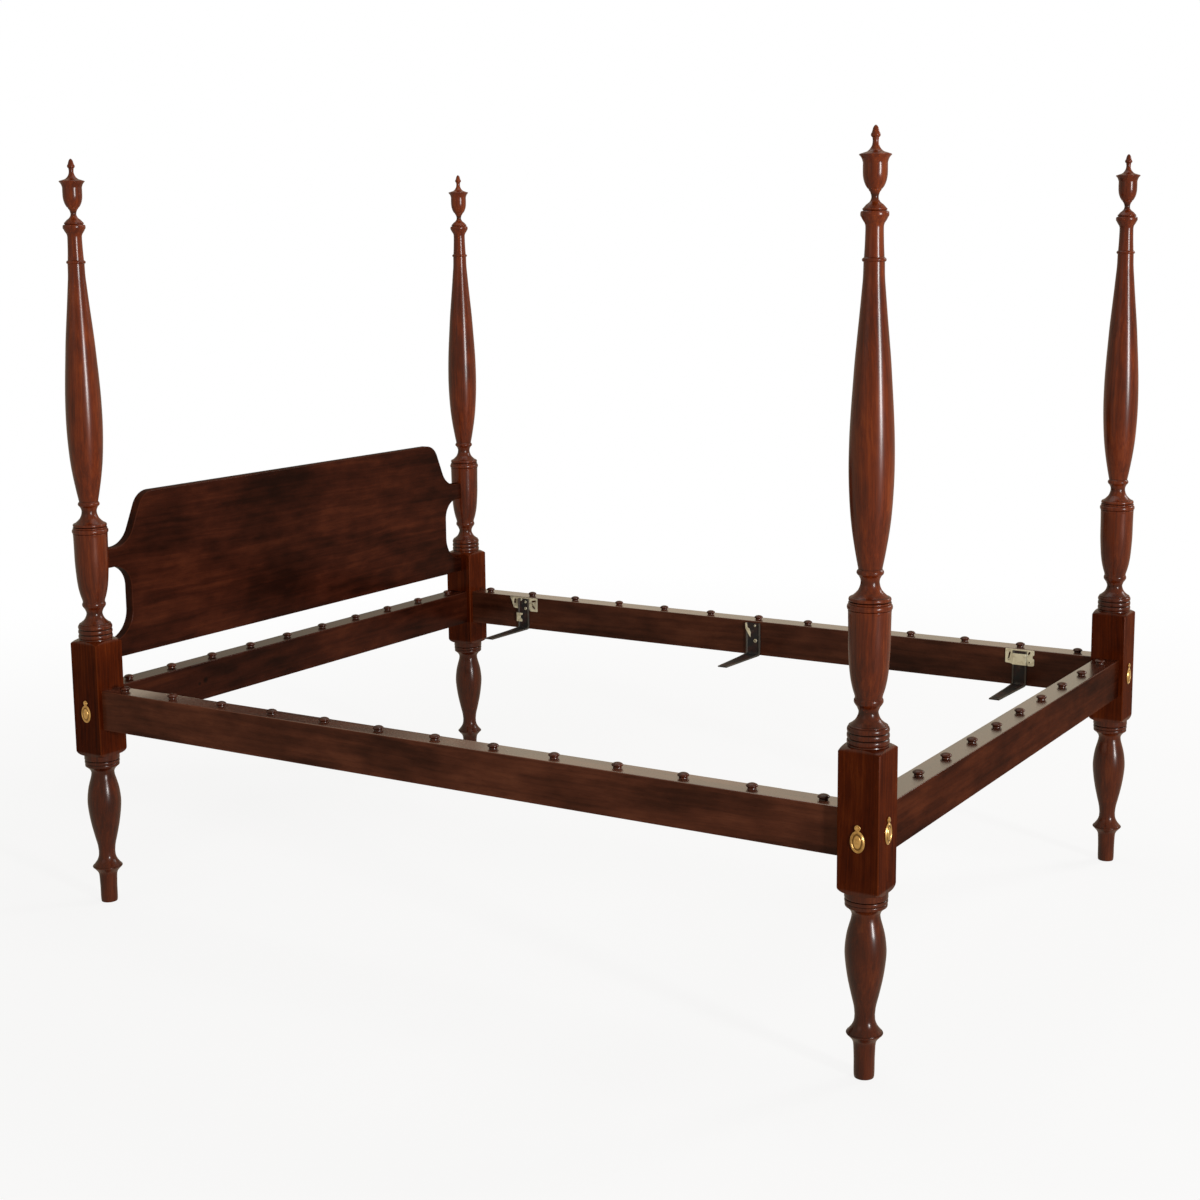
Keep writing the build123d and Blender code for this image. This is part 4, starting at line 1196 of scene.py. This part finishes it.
def hanger_iron(side_name, side, place_name, along):
    """A strap with raised edges down the rail, bent into a tapering arm under the box spring."""
    shell = Shell()
    rings = []
    for out, high, lean in iron_stations():
        share = min(1.0, out / IRON_ARM_LONG)
        half = IRON_HALF_WIDE[place_name] * (1 - share) + IRON_TIP_HALF_WIDE * share
        rib_share = min(1.0, out / IRON_RIB_FADE)
        crest = IRON_THICK + IRON_RIB_PROUD + (IRON_TIP_RIB_PROUD - IRON_RIB_PROUD) * rib_share
        rib = half - IRON_RIB_WIDE
        trough = rib - IRON_RIB_SLOPE
        section = [
            (-half, 0), (half, 0), (half, crest), (rib, crest), (trough, IRON_THICK),
            (-trough, IRON_THICK), (-rib, crest), (-half, crest),
        ]
        ring = []
        for across, thick in section:
            inward = POST_Y - RAIL_HALF_THICK - out - thick * math.cos(lean)
            ring.append((along + across, side * inward, high + thick * math.sin(lean)))
        rings.append(ring)
    shell.rings(rings, [IRON_RELIEF] * len(rings))
    name = f"hanger_iron_{side_name}_{place_name}"
    shell.piece(f"bent_{name}", iron_finish, "bed", [name], "black_iron", IRON_CREASE)


def rounded(corners, cut):
    """An outline whose corners are rounded off, each over the given length."""
    corners = [Vector(corner) for corner in corners]
    outline = []
    for before, here, after in zip(corners[-1:] + corners[:-1], corners, corners[1:] + corners[:1]):
        start = here + (before - here).normalized() * cut
        end = here + (after - here).normalized() * cut
        for t in ROUND_SHARES:
            outline.append(start.lerp(here, t).lerp(here.lerp(end, t), t))
    return outline


def slot_outline(across, down, half_long, radius, lean):
    """A slot with round ends, which leans by so many degrees."""
    centre = Vector((across, down))
    along = Vector((math.cos(math.radians(lean)), math.sin(math.radians(lean))))
    outline = []
    for end in (1, -1):
        for i in range(SLOT_END_STEPS + 1):
            a = math.radians(lean + 90 * (1 - end) - 90 + 180 * i / SLOT_END_STEPS)
            rim = radius * Vector((math.cos(a), math.sin(a)))
            outline.append(centre + end * half_long * along + rim)
    return outline


def sheet_metal(name, face, out, outlines):
    """Flat metal with eased edges, cut to the first outline and pierced by the others."""
    flat = bpy.data.curves.new(name, "CURVE")
    flat.dimensions = "2D"
    flat.fill_mode = "BOTH"
    flat.extrude = PLATE_THICK / 2 - PLATE_EDGE
    flat.bevel_depth = PLATE_EDGE
    flat.bevel_resolution = 1
    flat.offset = -PLATE_EDGE
    for outline in outlines:
        spline = flat.splines.new("POLY")
        spline.points.add(len(outline) - 1)
        spline.use_cyclic_u = True
        for point, corner in zip(spline.points, outline):
            point.co = (corner.x, corner.y, 0.0, 1.0)
    cut = bpy.data.objects.new(name, flat)
    bpy.context.scene.collection.objects.link(cut)
    mesh = bpy.data.meshes.new_from_object(cut.evaluated_get(bpy.context.evaluated_depsgraph_get()))
    bpy.data.objects.remove(cut)
    for vertex in mesh.vertices:
        vertex.co = face.at(vertex.co.x, vertex.co.y, out + PLATE_THICK / 2 + vertex.co.z) * MM
    return mesh


def screw_heads(face, place_name):
    """The heads of the screws at one hanger."""
    heads = Shell()
    for across, down, out, radius in SCREWS[place_name]:
        seat = Face(face.at(across, down, out), face.out)
        rings = [(wide * radius, wide * radius, high * radius) for wide, high in SCREW_RING_SHARES]
        heads.rings(oval_rings(seat, 0, rings, SCREW_TURNS), SCREW_RELIEF)
    return heads.mesh("screws")


def pocket(face):
    """The raised middle of a plate, which covers the iron."""
    half = (
        (POCKET_HALF_WIDE - POCKET_ROUND, POCKET_PROUD),
        (POCKET_HALF_WIDE + POCKET_FLARE, POCKET_PROUD - POCKET_DROP),
        (POCKET_HALF_WIDE + POCKET_TOE, PLATE_THICK),
        (POCKET_HALF_WIDE + POCKET_FOOT, PLATE_THICK - POCKET_SINK),
    )
    outline = [(-across, out) for across, out in reversed(half)] + list(half)
    rings = []
    for down in (POCKET_TOP_DOWN, POCKET_FOOT_DOWN):
        rings.append([face.at(across, -down, out) for across, out in outline])
    return Shell().rings(rings).mesh("pocket")


def hanger_plate(side_name, side, place_name, along):
    """The screws of a hanger iron, with the zinc plate or scrap that lies beside it, if any."""
    face = Face((along, side * (POST_Y - RAIL_HALF_THICK), PLATE_TOP), (0, -side, 0))
    name = f"hanger_plate_{side_name}_{place_name}"
    parts = [screw_heads(face, place_name)]
    nodes = []
    if place_name in PLATE_OUTLINES:
        rim = rounded(PLATE_OUTLINES[place_name], PLATE_CORNER)
        cuts = [slot_outline(*hole) for hole in PLATE_HOLES[place_name]]
        parts.append(sheet_metal(name, face, 0.0, [rim, *cuts]))
        nodes = [name]
    if place_name in SCRAPS:
        rim = rounded(SCRAPS[place_name], SCRAP_CORNER)
        parts.append(sheet_metal(name, face, SCRAP_OUT, [rim]))
    if place_name == "foot":
        parts.append(pocket(face))
    piece_name = f"pressed_{name}" if nodes else f"hanger_screws_{side_name}_{place_name}"
    dressed(joined(piece_name, parts), piece_name, zinc_finish, "bed", nodes, PLATE_CREASE)


def steel_bolts():
    """The bolts, washers and nuts keep their CAD shapes and get their finish."""
    for node in ("bed_bolts_side", "bed_bolts_end", "bolt_washers", "bolt_nuts"):
        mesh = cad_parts[node].data
        mesh.materials.clear()
        mesh.materials.append(bolt_finish)


# Studio


def ray_kind(shader, kind):
    """1 for a ray of one kind, and 0 for any other."""
    return shader.node("ShaderNodeLightPath", {}, {}, f"Is {kind} Ray")


def seen_as_background(shader):
    """1 for a ray from the camera or a shiny or clear surface, and 0 for a ray that brings light."""
    return ray_kind(shader, "Camera") + ray_kind(shader, "Glossy") + ray_kind(shader, "Transmission")


def background_tint(shader):
    """White for the camera, and a warmer white for what the bed mirrors and is lit by."""
    return shader.mix(ray_kind(shader, "Camera"), WARM_WHITE, (1.0, 1.0, 1.0))


def studio_floor():
    """A plain pale floor far beyond the bed's feet, whiter to the eye away from the bed."""
    mesh = bpy.data.meshes.new("floor")
    corners = [(x * FLOOR_REACH, y * FLOOR_REACH, 0) for x, y in ((-1, -1), (1, -1), (1, 1), (-1, 1))]
    mesh.from_pydata(corners, [], [(0, 1, 2, 3)])

    material = bpy.data.materials.new("pale_floor")
    material.use_nodes = True
    shader = Shader(material.node_tree)
    at = shader.place()
    paint = shader.mix(shader.noise(at, 3.0, detail=3.0), *FLOOR_TONES)
    matt = shader.node("ShaderNodeBsdfDiffuse", {}, {"Color": paint}, "BSDF")
    sockets = {"Color": background_tint(shader), "Strength": 1.0}
    white = shader.node("ShaderNodeEmission", {}, sockets, "Emission")
    paleness = shader.distance(at).rise(*FLOOR_FADE) * (1.0 - FLOOR_WHITE_BY_BED)
    share = seen_as_background(shader) * (FLOOR_WHITE_BY_BED + paleness)
    surface = shader.node("ShaderNodeMixShader", {}, {0: share, 1: matt, 2: white}, "Shader")
    shader.node("ShaderNodeOutputMaterial", {}, {"Surface": surface})
    mesh.materials.append(material)
    floor = bpy.data.objects.new("floor", mesh)
    bpy.context.scene.collection.objects.link(floor)


def studio_world():
    """A pale surround for the eye and for reflections, and a softer one for light."""
    world = bpy.data.worlds.new("studio")
    world.use_nodes = True
    bpy.context.scene.world = world
    shader = Shader(world.node_tree)
    strength = WORLD_LIGHT + seen_as_background(shader) * (1.0 - WORLD_LIGHT)
    sockets = {"Color": background_tint(shader), "Strength": strength}
    surround = shader.node("ShaderNodeBackground", {}, sockets)
    shader.node("ShaderNodeOutputWorld", {}, {"Surface": surround})


def soft_lamp(name, place, aim, size, power):
    """A rectangular lamp, in metres and watts, turned towards a point."""
    light = bpy.data.lights.new(name, "AREA")
    light.shape = "RECTANGLE"
    light.size, light.size_y = size
    light.energy = power
    lamp = bpy.data.objects.new(name, light)
    lamp.location = place
    lamp.rotation_euler = (Vector(aim) - Vector(place)).to_track_quat("-Z", "Y").to_euler()
    bpy.context.scene.collection.objects.link(lamp)


def camera():
    """The camera of the photograph, from the foot of the bed and its right side."""
    yaw, pitch, roll = CAMERA_YAW, CAMERA_PITCH, CAMERA_ROLL
    ahead = Vector((math.cos(pitch) * math.cos(yaw), math.cos(pitch) * math.sin(yaw), math.sin(pitch)))
    level = Vector((math.sin(yaw), -math.cos(yaw), 0))
    upright = level.cross(ahead)
    right = level * math.cos(roll) + upright * math.sin(roll)
    above = upright * math.cos(roll) - level * math.sin(roll)
    lens = bpy.data.cameras.new("camera")
    lens.lens = CAMERA_LENS
    lens.sensor_width = CAMERA_SENSOR
    lens.shift_x, lens.shift_y = CAMERA_SHIFT
    lens.clip_end = CAMERA_FARTHEST
    made = bpy.data.objects.new("camera", lens)
    turn = Matrix((right, above, -ahead)).transposed().to_4x4()
    made.matrix_world = Matrix.Translation(Vector(CAMERA_PLACE) * MM) @ turn
    bpy.context.scene.collection.objects.link(made)
    bpy.context.scene.camera = made


for end_name, end in ENDS:
    for side_name, side in SIDES:
        post(end_name, end, side_name, side)
        finial(end_name, end, side_name, side)
rails()
headboard()
rope_knobs()
bolt_covers()
for side_name, side in SIDES:
    for place_name, along in HANGER_PLACES:
        hanger_iron(side_name, side, place_name, along)
        hanger_plate(side_name, side, place_name, along)
steel_bolts()

camera()
studio_floor()
studio_world()
soft_lamp("key", place=(12.5, -4.6, 2.2), aim=(0.0, 0.0, 0.9), size=(1.3, 2.6), power=1500)
soft_lamp("rim", place=(3.8, 4.9, 3.6), aim=(0.0, 0.0, 0.7), size=(1.6, 1.6), power=120)
soft_lamp("fill", place=(-1.5, -6.0, 3.2), aim=(0.0, 0.0, 0.8), size=(3.2, 2.4), power=15)
soft_lamp("top", place=(0.0, 0.5, 4.6), aim=(0.0, 0.0, 0.0), size=(3.5, 2.5), power=45)
bpy.context.scene.view_settings.view_transform = "Standard"
